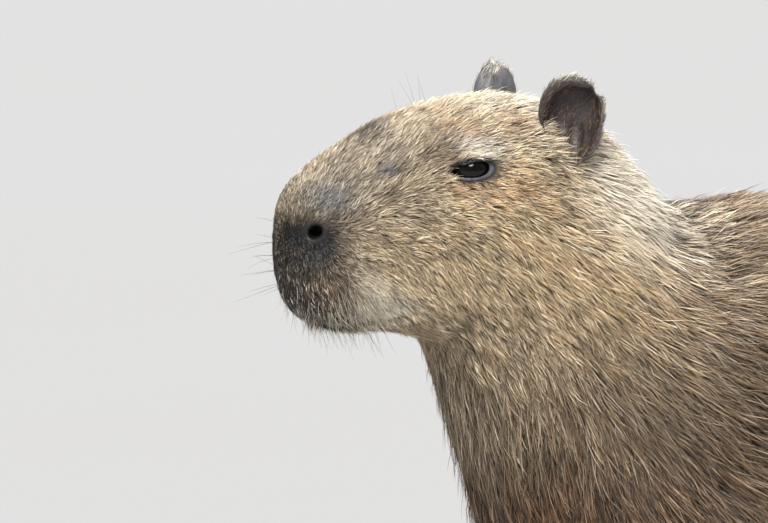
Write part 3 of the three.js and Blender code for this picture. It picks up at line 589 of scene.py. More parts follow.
# Patches laid over each other in turn: colour, centre (behind the nose, out from the midline, above the nose), size, strength
PATCHES = [
    (BROWN, (700, 0, -60), (420, 260, 260), 0.8),
    (RUST, (900, 0, 20), (180, 120, 130), 0.45),
    (UMBER, (600, 0, 30), (330, 40, 40), 0.3),
    (UMBER, (1000, 60, -150), (90, 120, 140), 0.35),
    (SAND, (620, 90, -330), (330, 150, 70), 0.8),
    (BROWN, (340, 60, 6), (70, 80, 40), 0.8),
    # Painted shade: the shade-brown and chest-brown patches below darken the lower shoulder, neck and chest, the side
    # turned from the light, laid over the chest's own brown.
    (SHADE, (300, 120, -110), (110, 90, 90), 0.8),
    (SHADE, (215, 90, -100), (60, 80, 50), 0.6),
    (SHADE, (240, 80, -290), (150, 120, 130), 1.0),
    (CHEST_BROWN_AND_SHADE, (250, 110, -190), (110, 90, 90), 0.95),
    (THROAT, (140, 30, -125), (50, 80, 40), 0.6),
    (CHEST_BROWN_AND_SHADE, (180, 50, -220), (90, 120, 90), 1.35),
    (RUST, (190, 50, -250), (70, 90, 70), 0.3),
    (GREY_TAN, (60, 20, 60), (60, 60, 40), 0.7),
    (GOLD, (160, 70, 10), (50, 60, 50), 0.6),
    (GOLD, (205, 84, -30), (40, 50, 50), 0.5),
    (GOLD, (130, 50, 80), (40, 50, 20), 0.5),
    (ASH, (22, 26, 25), (25, 42, 17), 1.1),
    (STRAW, (150, 10, 92), (70, 60, 20), 0.9),
    (CREAM, (178, 20, 88), (56, 70, 26), 0.95),
    (CREAM, (235, 50, 40), (46, 70, 46), 1.2),
    (CREAM, (262, 60, 14), (50, 70, 30), 1.0),
    (GINGER, (112, 40, 52), (12, 30, 22), 0.75),
    (GINGER, (142, 58, 30), (18, 30, 9), 0.6),
    (GINGER, (154, 46, 74), (20, 30, 9), 0.5),
    (UMBER, (104, 40, 66), (8, 26, 20), 0.4),
    (SOOT, (8, 20, -30), (31, 60, 34), 1.5),
    (SOOT, (18, 36, -58), (30, 40, 20), 1.5),
    (SOOT, (44, 20, -80), (36, 60, 11), 1.3),
    (BROWN, (20, 34, -30), (8, 30, 20), 0.35),
    (STRAW, (37, 44, -20), (9, 30, 14), 0.55),
    (CREAM, (46, 44, -36), (11, 30, 14), 0.7),
    (CREAM, (58, 44, -50), (18, 30, 14), 1.3),
    (BLACK, (0, 18, 0), (15, 30, 15), 1.1),
    (BLACK, (15, 30, -4), (13, 14, 14), 1.4),
    (SOOT, (62, 0, 66), (17, 14, 16), 0.7),
    (SLATE, (60, 43, 42), (8, 14, 5), 1.8),
]


def patch_weight(Q, centre, size):
    d = ((Q[:, 0] - centre[0]) / size[0]) ** 2 + (np.maximum(np.abs(Q[:, 1]) - centre[1], 0 if centre[1] == 0 else -1e9) / size[1]) ** 2 + ((Q[:, 2] - centre[2]) / size[2]) ** 2
    return np.exp(-d * 1.2)


def coat_colour(P):
    """The coat's colour at points on the skin, with painted shade darkening the lower shoulder, neck and chest."""
    Q = np.stack([P[:, 0] - NOSE_X, np.abs(P[:, 1]), P[:, 2] - NOSE_Z], 1)
    warp = (cloud(P, 26, 3) - 0.5)[:, None] * np.array([18, 8, 14])
    small = step(Q[:, 0], 60, 200)[:, None] * 0.7 + 0.3
    Q = Q + warp * small
    c = np.tile(TAN, (len(P), 1))
    for colour, centre, size, strength in PATCHES:
        w = np.minimum(patch_weight(Q, centre, size) * strength, 1)
        c = c + (colour - c) * w[:, None]
    a, b, o = eye_coords(P[:, 0], P[:, 1], P[:, 2])
    w = np.minimum(1.9 * np.exp(-(((a + 1) / 16) ** 2) - ((b - 13) / 7) ** 2), 1) * (o > -10)
    c = c + (CREAM - c) * w[:, None]
    w = (1 - step(lid_opening(a, b), 2.0, 6.0)) * (o > -8) * (1 - step(b, 5, 8))
    c = c + (SOOT - c) * (w * 0.75)[:, None]
    # legs darken downwards
    leg = 1 - step(P[:, 2], 70, 260)
    c = c + (BROWN * 0.8 - c) * (leg * 0.7)[:, None]
    foot = 1 - step(P[:, 2], 20, 110)
    c = c + (FOOT - c) * (foot * 0.9)[:, None]
    # brown streaks on the shoulder and flank
    streak = step(cloud(P, 20, 11, (2.4, 1, 0.8)), 0.46, 0.66) * step(Q[:, 0], 200, 300)
    c = c + (UMBER - c) * (streak * np.interp(Q[:, 0], [330, 480], [0.78, 0.36]))[:, None]
    mottle = cloud(P, 9, 14) - 0.5
    c = c * (1 + (0.5 + 0.45 * step(200 - Q[:, 0], 0, 60)) * mottle * step(Q[:, 0], 10, 60))[:, None]
    return c


# ---------------------------------------------------------------- the lie of the coat
# Place (behind the nose, out from the midline, above the nose), reach, and the way the hair points there (back, out, up)
COMB = [
    ((6, 8, 22), 22, (0.35, 0.1, 1.0)),
    ((30, 10, 50), 30, (0.65, 0.1, 0.85)),
    ((26, 36, 22), 22, (0.6, 0.2, 0.8)),
    ((60, 36, 40), 30, (0.8, 0.1, 0.55)),
    ((80, 8, 76), 36, (0.85, 0.05, 0.5)),
    ((130, 15, 90), 40, (1, 0.15, 0.12)),
    ((190, 20, 88), 40, (1, 0.1, -0.1)),
    ((235, 25, 66), 40, (0.9, 0.1, -0.5)),
    ((270, 40, 30), 50, (0.95, 0.1, -0.45)),
    ((2, 8, -14), 18, (0.2, 0.15, -1.0)),
    ((12, 30, -20), 22, (0.2, 0.1, -1.0)),
    ((30, 42, -14), 24, (0.8, 0.2, -0.5)),
    ((28, 40, -48), 24, (0.25, 0.05, -1.0)),
    ((60, 44, -30), 28, (0.7, 0.1, -0.75)),
    ((66, 46, 5), 24, (0.95, 0.1, -0.32)),
    ((98, 54, 12), 24, (0.85, 0.1, -0.5)),
    ((50, 26, -72), 30, (0.5, 0.1, -0.8)),
    ((90, 50, -62), 34, (0.7, 0.1, -0.7)),
    ((110, 44, 68), 24, (0.85, 0.2, 0.55)),
    ((128, 56, 58), 16, (1, 0.2, 0.12)),
    ((150, 50, 80), 30, (1, 0.2, 0.1)),
    ((126, 64, 24), 20, (0.8, 0.1, -0.62)),
    ((160, 74, 40), 34, (0.9, 0.1, -0.42)),
    ((150, 76, -20), 40, (0.68, 0.05, -0.78)),
    ((200, 76, 20), 34, (0.7, 0, -0.74)),
    ((140, 50, -80), 40, (0.7, 0, -0.7)),
    ((235, 105, -50), 60, (0.62, 0, -0.8)),
    ((150, 40, -140), 50, (0.15, 0, -1.0)),
    ((190, 80, -180), 50, (0.45, 0, -0.95)),
    ((200, 30, -270), 60, (0.3, 0, -1.0)),
    ((300, 120, -100), 70, (0.82, 0, -0.6)),
    ((340, 60, 0), 70, (1, 0.05, -0.2)),
    ((300, 130, -220), 70, (0.6, 0, -0.85)),
    ((450, 30, 15), 100, (1, 0.05, -0.05)),
    ((700, 30, 30), 130, (1, 0.05, -0.03)),
    ((500, 140, -180), 110, (0.9, 0, -0.5)),
    ((720, 140, -170), 110, (0.9, 0, -0.5)),
    ((600, 40, -335), 120, (1, 0.25, 0)),
    ((900, 30, 10), 90, (1, 0.05, -0.4)),
    ((880, 140, -150), 90, (0.65, 0, -0.8)),
    ((1000, 60, -80), 80, (0.45, 0.1, -1.0)),
    ((1040, 10, -180), 70, (0.2, 0.3, -1.0)),
    ((330, 100, -330), 60, (0.35, 0, -1.0)),
    ((300, 95, -450), 70, (0.15, 0, -1.0)),
    ((860, 110, -310), 70, (0.5, 0, -1.0)),
    ((930, 100, -420), 60, (0.1, 0, -1.0)),
    ((900, 98, -470), 50, (-0.4, 0, -1.0)),
    ((255, 92, -525), 40, (-1.0, 0, -0.45)),
    ((830, 98, -525), 45, (-1.0, 0, -0.4)),
]


def comb(P, N):
    """The way the hair points at places on the skin, lying in the skin."""
    Q = np.stack([P[:, 0] - NOSE_X, np.abs(P[:, 1]), P[:, 2] - NOSE_Z], 1)
    total = np.zeros_like(Q)
    for place, reach, way in COMB:
        d = ((Q - np.array(place)) ** 2).sum(1) / reach**2
        total += (unit(way)[None, :]) * (1 / (0.12 + d) ** 2)[:, None]
    # On the ears it runs from the root to the rim.
    for side in (-1, 1):
        k = np.flatnonzero((P[:, 0] > -375) & (P[:, 0] < -295) & (P[:, 2] > 580) & (P[:, 1] * side > 20))
        if len(k):
            c, mouth, up, along = ear_frame(side)
            w = step(ear_near(P[k]), 0, 1)
            way = up + 0.5 * (along * (1 if along[0] > 0 else -1))
            way = np.array([way[0], way[1] * side, way[2]])
            t = total[k] / np.linalg.norm(total[k], axis=1)[:, None]
            total[k] = mix(t, unit(way)[None, :], w[:, None])
    total[:, 1] *= np.sign(P[:, 1]) + (P[:, 1] == 0)
    total[:, 1] *= step(np.abs(P[:, 1]), 0, 10)
    total -= N * (total * N).sum(1)[:, None]
    return total / np.maximum(np.linalg.norm(total, axis=1), 1e-6)[:, None]


def ear_near(P):
    """1 on an ear, 0 well away from it."""
    out = np.zeros(len(P))
    for side in (-1, 1):
        a, m, u = ear_coords(P[:, 0], P[:, 1], P[:, 2], side)
        k = np.sqrt((a / (EAR["w"] + 1.5)) ** 2 + (m / (EAR["d"] + 1.5)) ** 2 + (u / (EAR["h"] + 1.5)) ** 2)
        out = np.maximum(out, (1 - step(k, 1.0, 1.12)) * step(u, -27, -15))
    return out


def ear_inner(P):
    """1 within the bowl of an ear, 0 on its back and its rim."""
    out = np.zeros(len(P))
    for side in (-1, 1):
        a, m, u = ear_coords(P[:, 0], P[:, 1], P[:, 2], side)
        k = np.sqrt((a / (EAR["w"] - 1.2)) ** 2 + ((m - 7) / (EAR["d"] + 4.6)) ** 2 + ((u - 2) / (EAR["h"] - 1.2)) ** 2)
        out = np.maximum(out, (1 - step(k, 0.94, 1.02)) * (np.abs(a) < EAR["w"]) * (u > -30) * (m < 16))
    return out


def ear_rim(P):
    """1 along the outer edge of an ear, where a pale fringe grows."""
    out = np.zeros(len(P))
    for side in (-1, 1):
        a, m, u = ear_coords(P[:, 0], P[:, 1], P[:, 2], side)
        k = np.sqrt((a / EAR["w"]) ** 2 + (u / EAR["h"]) ** 2)
        out = np.maximum(out, step(k, 0.90, 0.96) * (np.abs(m) < 9) * (k < 1.1) * step(u, -16, -2) * step(a + 0.5 * u, -14, 0))
    return out


# ---------------------------------------------------------------- meshes
def mesh_object(name, verts, polys, sizes=None, smooth=True):
    """A mesh from arrays. polys is one flat list of vertex numbers, sizes the corners of each face."""
    me = bpy.data.meshes.new(name)
    polys = np.asarray(polys, np.int32)
    if sizes is None:
        sizes = np.full(len(polys), polys.shape[1], np.int32)
    flat = polys.ravel()
    me.vertices.add(len(verts))
    me.vertices.foreach_set("co", np.ascontiguousarray(verts, F).ravel() * F(0.001))
    me.loops.add(len(flat))
    me.loops.foreach_set("vertex_index", flat)
    me.polygons.add(len(sizes))
    me.polygons.foreach_set("loop_start", np.concatenate([[0], np.cumsum(sizes)[:-1]]).astype(np.int32))
    me.update(calc_edges=True)
    if smooth:
        me.polygons.foreach_set("use_smooth", np.ones(len(sizes), bool))
    ob = bpy.data.objects.new(name, me)
    bpy.context.scene.collection.objects.link(ob)
    return ob


def paint(ob, name, colours):
    att = ob.data.attributes.new(name, "FLOAT_COLOR", "POINT")
    rgba = np.ones((len(colours), 4), F)
    rgba[:, :3] = colours
    att.data.foreach_set("color", rgba.ravel())


def nodes_of(mat):
    mat.use_nodes = True
    t = mat.node_tree
    return t, t.nodes, t.links, t.nodes["Principled BSDF"]


def skin_material():
    mat = bpy.data.materials.new("capybara_skin")
    t, n, l, p = nodes_of(mat)
    tint = n.new("ShaderNodeAttribute")
    tint.attribute_name = "tint"
    gloss = n.new("ShaderNodeAttribute")
    gloss.attribute_name = "wet"
    coord = n.new("ShaderNodeTexCoord")
    pores = n.new("ShaderNodeTexVoronoi")
    pores.inputs["Scale"].default_value = 620
    creases = n.new("ShaderNodeTexNoise")
    creases.inputs["Scale"].default_value = 260
    creases.inputs["Detail"].default_value = 5
    mottle = n.new("ShaderNodeTexNoise")
    mottle.inputs["Scale"].default_value = 90
    mottle.inputs["Detail"].default_value = 3
    for tex in (pores, creases, mottle):
        l.new(coord.outputs["Object"], tex.inputs["Vector"])
    ramp = n.new("ShaderNodeMapRange")
    ramp.inputs["From Min"].default_value, ramp.inputs["From Max"].default_value = 0.3, 0.7
    ramp.inputs["To Min"].default_value, ramp.inputs["To Max"].default_value = 0.72, 1.2
    l.new(mottle.outputs["Fac"], ramp.inputs["Value"])
    mul = n.new("ShaderNodeVectorMath")
    mul.operation = "SCALE"
    l.new(tint.outputs["Color"], mul.inputs[0])
    l.new(ramp.outputs["Result"], mul.inputs["Scale"])
    l.new(mul.outputs["Vector"], p.inputs["Base Color"])
    rough = n.new("ShaderNodeMapRange")
    rough.inputs["To Min"].default_value, rough.inputs["To Max"].default_value = 0.72, 0.3
    l.new(gloss.outputs["Fac"], rough.inputs["Value"])
    l.new(rough.outputs["Result"], p.inputs["Roughness"])
    add = n.new("ShaderNodeMath")
    add.operation = "ADD"
    l.new(pores.outputs["Distance"], add.inputs[0])
    l.new(creases.outputs["Fac"], add.inputs[1])
    bump = n.new("ShaderNodeBump")
    bump.inputs["Strength"].default_value = 0.35
    bump.inputs["Distance"].default_value = 0.0006
    l.new(add.outputs["Value"], bump.inputs["Height"])
    l.new(bump.outputs["Normal"], p.inputs["Normal"])
    p.inputs["Specular IOR Level"].default_value = 0.4
    return mat


def coat_material():
    mat = bpy.data.materials.new("capybara_coat")
    t, n, l, p = nodes_of(mat)
    tint = n.new("ShaderNodeAttribute")
    tint.attribute_name = "tint"
    coord = n.new("ShaderNodeTexCoord")
    tex = n.new("ShaderNodeTexNoise")
    tex.inputs["Scale"].default_value = 900
    l.new(coord.outputs["Object"], tex.inputs["Vector"])
    ramp = n.new("ShaderNodeMapRange")
    ramp.inputs["From Min"].default_value, ramp.inputs["From Max"].default_value = 0.3, 0.7
    ramp.inputs["To Min"].default_value, ramp.inputs["To Max"].default_value = 0.88, 1.12
    l.new(tex.outputs["Fac"], ramp.inputs["Value"])
    mul = n.new("ShaderNodeVectorMath")
    mul.operation = "SCALE"
    l.new(tint.outputs["Color"], mul.inputs[0])
    l.new(ramp.outputs["Result"], mul.inputs["Scale"])
    lane = n.new("ShaderNodeAttribute")
    lane.attribute_name = "lane"
    hair = n.new("ShaderNodeTexNoise")
    hair.noise_dimensions = "1D"
    hair.inputs["Scale"].default_value = 1.0
    hair.inputs["Detail"].default_value = 1
    l.new(lane.outputs["Fac"], hair.inputs["W"])
    split = n.new("ShaderNodeMapRange")
    split.inputs["From Min"].default_value, split.inputs["From Max"].default_value = 0.3, 0.7
    split.inputs["To Min"].default_value, split.inputs["To Max"].default_value = 0.66, 1.26
    l.new(hair.outputs["Fac"], split.inputs["Value"])
    each = n.new("ShaderNodeVectorMath")
    each.operation = "SCALE"
    l.new(mul.outputs["Vector"], each.inputs[0])
    l.new(split.outputs["Result"], each.inputs["Scale"])
    l.new(each.outputs["Vector"], p.inputs["Base Color"])
    bump = n.new("ShaderNodeBump")
    bump.inputs["Strength"].default_value = 0.5
    bump.inputs["Distance"].default_value = 0.0004
    l.new(hair.outputs["Fac"], bump.inputs["Height"])
    l.new(bump.outputs["Normal"], p.inputs["Normal"])
    p.inputs["Roughness"].default_value = 0.48
    p.inputs["Specular IOR Level"].default_value = 0.4
    return mat


def horn_material():
    mat = bpy.data.materials.new("capybara_nail")
    t, n, l, p = nodes_of(mat)
    coord = n.new("ShaderNodeTexCoord")
    tex = n.new("ShaderNodeTexNoise")
    tex.inputs["Scale"].default_value = 140
    tex.inputs["Detail"].default_value = 4
    l.new(coord.outputs["Object"], tex.inputs["Vector"])
    ramp = n.new("ShaderNodeValToRGB")
    ramp.color_ramp.elements[0].position, ramp.color_ramp.elements[1].position = 0.35, 0.7
    ramp.color_ramp.elements[0].color = (0.010, 0.008, 0.007, 1)
    ramp.color_ramp.elements[1].color = (0.045, 0.036, 0.028, 1)
    l.new(tex.outputs["Fac"], ramp.inputs["Fac"])
    l.new(ramp.outputs["Color"], p.inputs["Base Color"])
    bump = n.new("ShaderNodeBump")
    bump.inputs["Strength"].default_value = 0.3
    bump.inputs["Distance"].default_value = 0.0004
    l.new(tex.outputs["Fac"], bump.inputs["Height"])
    l.new(bump.outputs["Normal"], p.inputs["Normal"])
    p.inputs["Roughness"].default_value = 0.42
    return mat


def eye_material():
    mat = bpy.data.materials.new("capybara_eye")
    t, n, l, p = nodes_of(mat)
    tint = n.new("ShaderNodeAttribute")
    tint.attribute_name = "tint"
    coord = n.new("ShaderNodeTexCoord")
    tex = n.new("ShaderNodeTexNoise")
    tex.inputs["Scale"].default_value = 700
    l.new(coord.outputs["Object"], tex.inputs["Vector"])
    ramp = n.new("ShaderNodeMapRange")
    ramp.inputs["To Min"].default_value, ramp.inputs["To Max"].default_value = 0.8, 1.2
    l.new(tex.outputs["Fac"], ramp.inputs["Value"])
    mul = n.new("ShaderNodeVectorMath")
    mul.operation = "SCALE"
    l.new(tint.outputs["Color"], mul.inputs[0])
    l.new(ramp.outputs["Result"], mul.inputs["Scale"])
    l.new(mul.outputs["Vector"], p.inputs["Base Color"])
    p.inputs["Roughness"].default_value = 0.1
    p.inputs["Specular IOR Level"].default_value = 0.26
    p.inputs["Coat Weight"].default_value = 0.08
    p.inputs["Coat Roughness"].default_value = 0.03
    return mat


# ---------------------------------------------------------------- skin
P, N, quads = skin_surface()
skin = mesh_object("skin", P, quads)
print("skin", len(P), "points", len(quads), "quads")


def bare(P):
    """How far the skin is bare: 1 on lids, nose, ears' inside and soles, 0 under the coat."""
    a, b, o = eye_coords(P[:, 0], P[:, 1], P[:, 2])
    lids = (1 - step(lid_opening(a, b), 2.6, 4.6)) * (o > 0)
    lids = np.maximum(lids, (1 - step(canthus(a, b), 1.2, 3.2)) * (o > -2))
    s, h, ya = P[:, 0] - NOSE_X, P[:, 2] - NOSE_Z, np.abs(P[:, 1])
    nostril = np.exp(-(((s - NOSTRIL["s"] - 1) / 9) ** 2) - ((ya - 25) / 13) ** 2 - ((h - NOSTRIL["z"]) / 7.5) ** 2)
    pad = np.exp(-((s / 10) ** 2) - (ya / 26) ** 2 - ((h - 4) / 11) ** 2)
    spot = np.exp(-(((s - 70) / 5.5) ** 2) - ((h - 40) / 3.2) ** 2) * (ya > 20)
    sole = 1 - step(P[:, 2], 1.5, 5)
    tail = step(P[:, 0], 512, 520) * np.exp(-((P[:, 1] / 14) ** 2 + ((P[:, 2] - 370) / 14) ** 2))
    return lids, np.clip(nostril * 1.5, 0, 1), np.clip(pad * 1.3, 0, 1), np.clip(spot * 1.4, 0, 1), sole, tail


def skin_colour(P):
    c = coat_colour(P) * 0.3
    wet = np.zeros(len(P))
    lids, nostril, pad, spot, sole, tail = bare(P)
    on_ear, inner = ear_near(P), ear_inner(P)
    # The bare ear skin: its own dark grey lightened to a pale blue-grey slate, partly painted sheen.
    c = mix(c, linear((98, 98, 104)), (on_ear * 0.95)[:, None])
    c = mix(c, linear((60, 50, 47)), (inner * 0.95)[:, None])
    c = mix(c, linear((34, 31, 31)), (pad * 0.9)[:, None])
    c = mix(c, linear((30, 28, 30)), (nostril * 0.92)[:, None])
    c = mix(c, linear((112, 116, 126)), (spot * 0.9)[:, None])
    s, dy, dh = P[:, 0] - NOSE_X, np.abs(P[:, 1]) - NOSTRIL["y"], P[:, 2] - NOSE_Z - NOSTRIL["z"]
    # Painted shade: the inside of each nostril opening is near black, and not glossy.
    nostril_shade = 1 - step(np.sqrt(((s - NOSTRIL["s"]) * 0.788 + dy * 0.616) ** 2 + dh**2), 4.6, 7.0)
    c = mix(c, linear((9, 8, 8)), nostril_shade[:, None])
    c = mix(c, linear((62, 52, 44)), (sole * 0.9)[:, None])
    c = mix(c, linear((84, 66, 52)), (tail * 0.8)[:, None])
    a, b, o = eye_coords(P[:, 0], P[:, 1], P[:, 2])
    opening = lid_opening(a, b)
    # Painted highlight: a light blue-grey band along the wet edge of the lower lid.
    rim = np.exp(-(((opening - 1.3) / 0.9) ** 2)) * step(0.22 * a - b, -1.5, 2.5) * (o > 2)
    c = mix(c, linear((26, 24, 26)), (lids * 0.97)[:, None])
    c = mix(c, linear((108, 111, 120)), (rim * 0.75)[:, None])
    wet = np.clip(lids * 0.5 + nostril * 0.8 + pad * 0.5 + spot * 0.4 + on_ear * 0.7, 0, 1) * (1 - nostril_shade)
    return c, wet


c, wet = skin_colour(P)
paint(skin, "tint", c)
att = skin.data.attributes.new("wet", "FLOAT", "POINT")
att.data.foreach_set("value", wet.astype(F))
skin.data.materials.append(skin_material())


# ---------------------------------------------------------------- coat
def atlas(P, N):
    """A place for each point of the skin on a flat map of its own shape: one chart for each way it faces, each side and each end."""
    axis = np.abs(N).argmax(1)
    facing = axis * 2 + (N[np.arange(len(N)), axis] > 0)
    side, rear = (P[:, 1] > 0).astype(int), (P[:, 0] > -150).astype(int)
    chart = facing * 4 + side * 2 + rear
    col, row = chart % 6, chart // 6
    flat = np.where(axis[:, None] == 0, P[:, [1, 2]], np.where(axis[:, None] == 1, P[:, [0, 2]], P[:, [0, 1]]))
    lo = np.stack([np.where(axis == 0, -190, np.where(rear > 0, -160, -545)), np.where(axis == 2, -190, 0)], 1)
    size = np.where(rear > 0, 700.0, 660.0)
    uv = (flat - lo) / size[:, None]
    return (np.stack([col, row], 1) + 0.04 + np.clip(uv, 0, 1) * 0.92) * np.array([1 / 6, 1 / 4])


def style(P):
    """Length, width and cover of the coat at places on the skin."""
    s, h, ya = P[:, 0] - NOSE_X, P[:, 2] - NOSE_Z, np.abs(P[:, 1])
    length = np.interp(s, [0, 20, 60, 110, 160, 205, 250, 330, 500, 1060], [3.0, 5.5, 9.5, 11.5, 14, 20, 30, 36, 33, 30])
    width = np.interp(s, [0, 60, 110, 160, 205, 250, 330, 430, 560, 1060], [0.42, 0.52, 0.60, 0.66, 0.76, 0.88, 1.0, 1.5, 2.0, 2.1])
    cover = np.interp(s, [0, 20, 60, 160, 220, 330, 430, 560, 1060], [2.0, 3.2, 3.8, 4.1, 4.6, 4.6, 3.4, 2.6, 2.6])
    throat = step(-h, 84, 120) * step(330 - s, 0, 60)
    length, width = mix(length, 32, throat), mix(width, 1.0, throat)
    lip = step(62 - s, 0, 22) * step(-h, 14, 40)
    length, cover, width = mix(length, 8, lip), mix(cover, 2.4, lip), mix(width, 0.45, lip)
    leg = 1 - step(P[:, 2], 90, 240)
    length, width, cover = mix(length, 15, leg), mix(width, 1.5, leg), mix(cover, 3.2, leg)
    foot = 1 - step(P[:, 2], 26, 90)
    length, width, cover = mix(length, 6.5, foot), mix(width, 0.95, foot), mix(cover, 2.6, foot)
    a, b, o = eye_coords(P[:, 0], P[:, 1], P[:, 2])
    foot_of_ear = np.exp(-(((s - 174) / 16) ** 2) - ((ya - 66) / 22) ** 2 - ((h - 62) / 16) ** 2)
    length = mix(length, 21, foot_of_ear)
    near = np.exp(-((a / 22) ** 2 + (b / 17) ** 2)) * (o > -14)
    length, width, cover = mix(length, 5.5, near), mix(width, 0.55, near), cover * (1 + 0.5 * near)
    on_ear, inner = ear_near(P), ear_inner(P)
    length, width, cover = mix(length, 5.5, on_ear), mix(width, 0.36, on_ear), mix(cover, 0.1, on_ear)
    cover = mix(cover, 0.3, inner)
    rim = ear_rim(P)
    cover = mix(cover, 0.55, rim)
    lids, nostril, pad, spot, sole, tail = bare(P)
    cover = cover * (1 - lids) * (1 - np.clip(nostril * 1.6, 0, 1)) * (1 - 0.3 * pad) * (1 - 0.9 * spot) * (1 - sole) * (1 - 0.8 * tail)
    s, dy, dh = P[:, 0] - NOSE_X, np.abs(P[:, 1]) - NOSTRIL["y"], P[:, 2] - NOSE_Z - NOSTRIL["z"]
    hole = 1 - step(np.sqrt(((s - NOSTRIL["s"]) * 0.788 + dy * 0.616) ** 2 + dh**2), 6.0, 7.5)
    cover = cover * (1 - hole * (s < 45) * (np.abs(dy) < 16))
    return length, width, cover


def pick_roots(points, normals, faces, cover_of, total, seed):
    """Roots spread over the faces, denser where the coat needs more tufts to cover the skin."""
    g = np.random.default_rng(seed)
    tri = np.concatenate([faces[:, [0, 1, 2]], faces[:, [0, 2, 3]]])
    a, b, c = points[tri[:, 0]], points[tri[:, 1]], points[tri[:, 2]]
    area = np.linalg.norm(np.cross(b - a, c - a), axis=1) / 2
    mid = (a + b + c) / 3
    length, width, cover = cover_of(mid)
    need = area * cover / (0.55 * length * width)
    print("tufts wanted", int(need.sum()))
    cum = np.cumsum(need)
    want = min(total, int(cum[-1]))
    at = (np.arange(want) + g.random(want)) / want * cum[-1]
    k = np.minimum(np.searchsorted(cum, at), len(cum) - 1)
    r1, r2 = np.sqrt(g.random(want)), g.random(want)
    wa, wb, wc = 1 - r1, r1 * (1 - r2), r1 * r2
    mixof = lambda v: v[tri[k, 0]] * wa[:, None] + v[tri[k, 1]] * wb[:, None] + v[tri[k, 2]] * wc[:, None]
    R, n = mixof(points), mixof(normals)
    return R, n / np.linalg.norm(n, axis=1)[:, None]


def clump_centres(R, size, seed):
    """For each root the nearest of a set of scattered points about size apart."""
    q = np.floor(R / size).astype(np.int64)
    best, centre = np.full(len(R), 1e9), np.zeros_like(R)
    tag = np.zeros(len(R), np.int64)
    for a in (-1, 0, 1):
        for b in (-1, 0, 1):
            for c in (-1, 0, 1):
                cell = q + np.array([a, b, c])
                h = cell[:, 0] * 73856093 ^ cell[:, 1] * 19349663 ^ cell[:, 2] * 83492791 ^ seed * 2654435
                h = (h ^ (h >> 15)) * 2246822519 & 0x7FFFFFFFFFFF
                j = np.stack([(h >> 4) & 1023, (h >> 14) & 1023, (h >> 24) & 1023], 1) / 1023.0
                p = (cell + j) * size
                d = ((p - R) ** 2).sum(1)
                win = d < best
                best[win], centre[win], tag[win] = d[win], p[win], h[win]
    return centre, ((tag >> 9) & 4095) / 4095.0


def make_tufts(R, n, seed, styled=None, over=1.0):
    """Where each tuft's spine runs and how wide it is, with the random shade and clump tag that its colour is later
    drawn from.
    """
    g = np.random.default_rng(seed)
    count = len(R)
    length, width, _ = (styled or style)(R)
    depth = coat_depth(R[:, 0], R[:, 1], R[:, 2]) * over
    on_ear = ear_near(R)
    depth = mix(depth, 1.4, on_ear) * np.interp(R[:, 0] - NOSE_X, [0, 100, 200, 280, 400], [1, 1.1, 1.35, 1.5, 1.2])
    t = comb(R, n)
    b = np.cross(n, t)
    s = R[:, 0] - NOSE_X
    size = np.interp(s, [0, 60, 160, 240, 400, 1060], [3.5, 4.5, 6.5, 9, 13, 16])
    # clumps of two sizes in one pass each, so that neighbours lean together
    centre, tag = np.zeros_like(R), np.zeros(count)
    for lo, hi, cell in ((0, 5.5, 4.5), (5.5, 8, 6.5), (8, 11, 9.5), (11, 99, 14)):
        k = np.flatnonzero((size >= lo) & (size < hi))
        if len(k):
            centre[k], tag[k] = clump_centres(R[k], cell, seed)
    pull = centre - R
    pull -= n * (pull * n).sum(1)[:, None]
    # wide slow turns of the lie, small quick ones, and each tuft's own
    calm = np.interp(s, [250, 420], [1, 0.6])
    sway = ((cloud(R, 30, 5) - 0.5) * 0.55 + (cloud(R, 9, 8) - 0.5) * 0.5 + (tag - 0.5) * 0.3) * calm + g.normal(0, 0.09, count)
    t = t * np.cos(sway)[:, None] + b * np.sin(sway)[:, None]
    b = np.cross(n, t)
    L = length * g.uniform(0.72, 1.22, count) * mix(0.85, 1.15, tag)
    edge = step(NOSE_Z - 80 - R[:, 2], 0, 40) * step(-180 - R[:, 0], 0, 60)
    stray = g.random(count) < 0.07 + 0.1 * edge
    L = L * np.where(stray & (length > 9), 1.2, 1.0)
    rise = depth * g.uniform(0.5, 1.0, count) * mix(0.75, 1.05, tag) * np.where(stray, 1.4 + 0.5 * edge, 1.0)
    rise = rise + 5 * np.exp(-(((s - 174) / 16) ** 2) - ((np.abs(R[:, 1]) - 66) / 22) ** 2 - ((R[:, 2] - NOSE_Z - 62) / 16) ** 2)
    rise = rise + 6 * np.exp(-(((s - 322) / 46) ** 2)) * step(n[:, 2], 0.35, 0.85)
    rise = np.minimum(rise, L * 0.75)
    run = np.sqrt(np.maximum(L**2 - rise**2, 1))
    curl = g.normal(0, 0.10, count) + (tag - 0.5) * 0.12
    clump = np.interp(s, [0, 60, 110, 220, 400], [0.22, 0.3, 0.45, 0.5, 0.5])

    def spine(v):
        up = rise * (1 - (1 - v) ** 1.7)
        side = curl * L * v * v
        return R + t * (run * v)[:, None] + n * (up - 0.25)[:, None] + b * side[:, None] + pull * (clump * v**1.4)[:, None]

    roll = g.normal(0, 0.5, count)
    w = width * g.uniform(0.7, 1.3, count) * np.where(stray, 0.6, 1.0)
    shade = g.random(count)
    return dict(root=R, n=n, t=t, b=b, spine=spine, w=w, L=L, roll=roll, shade=shade, tag=tag)


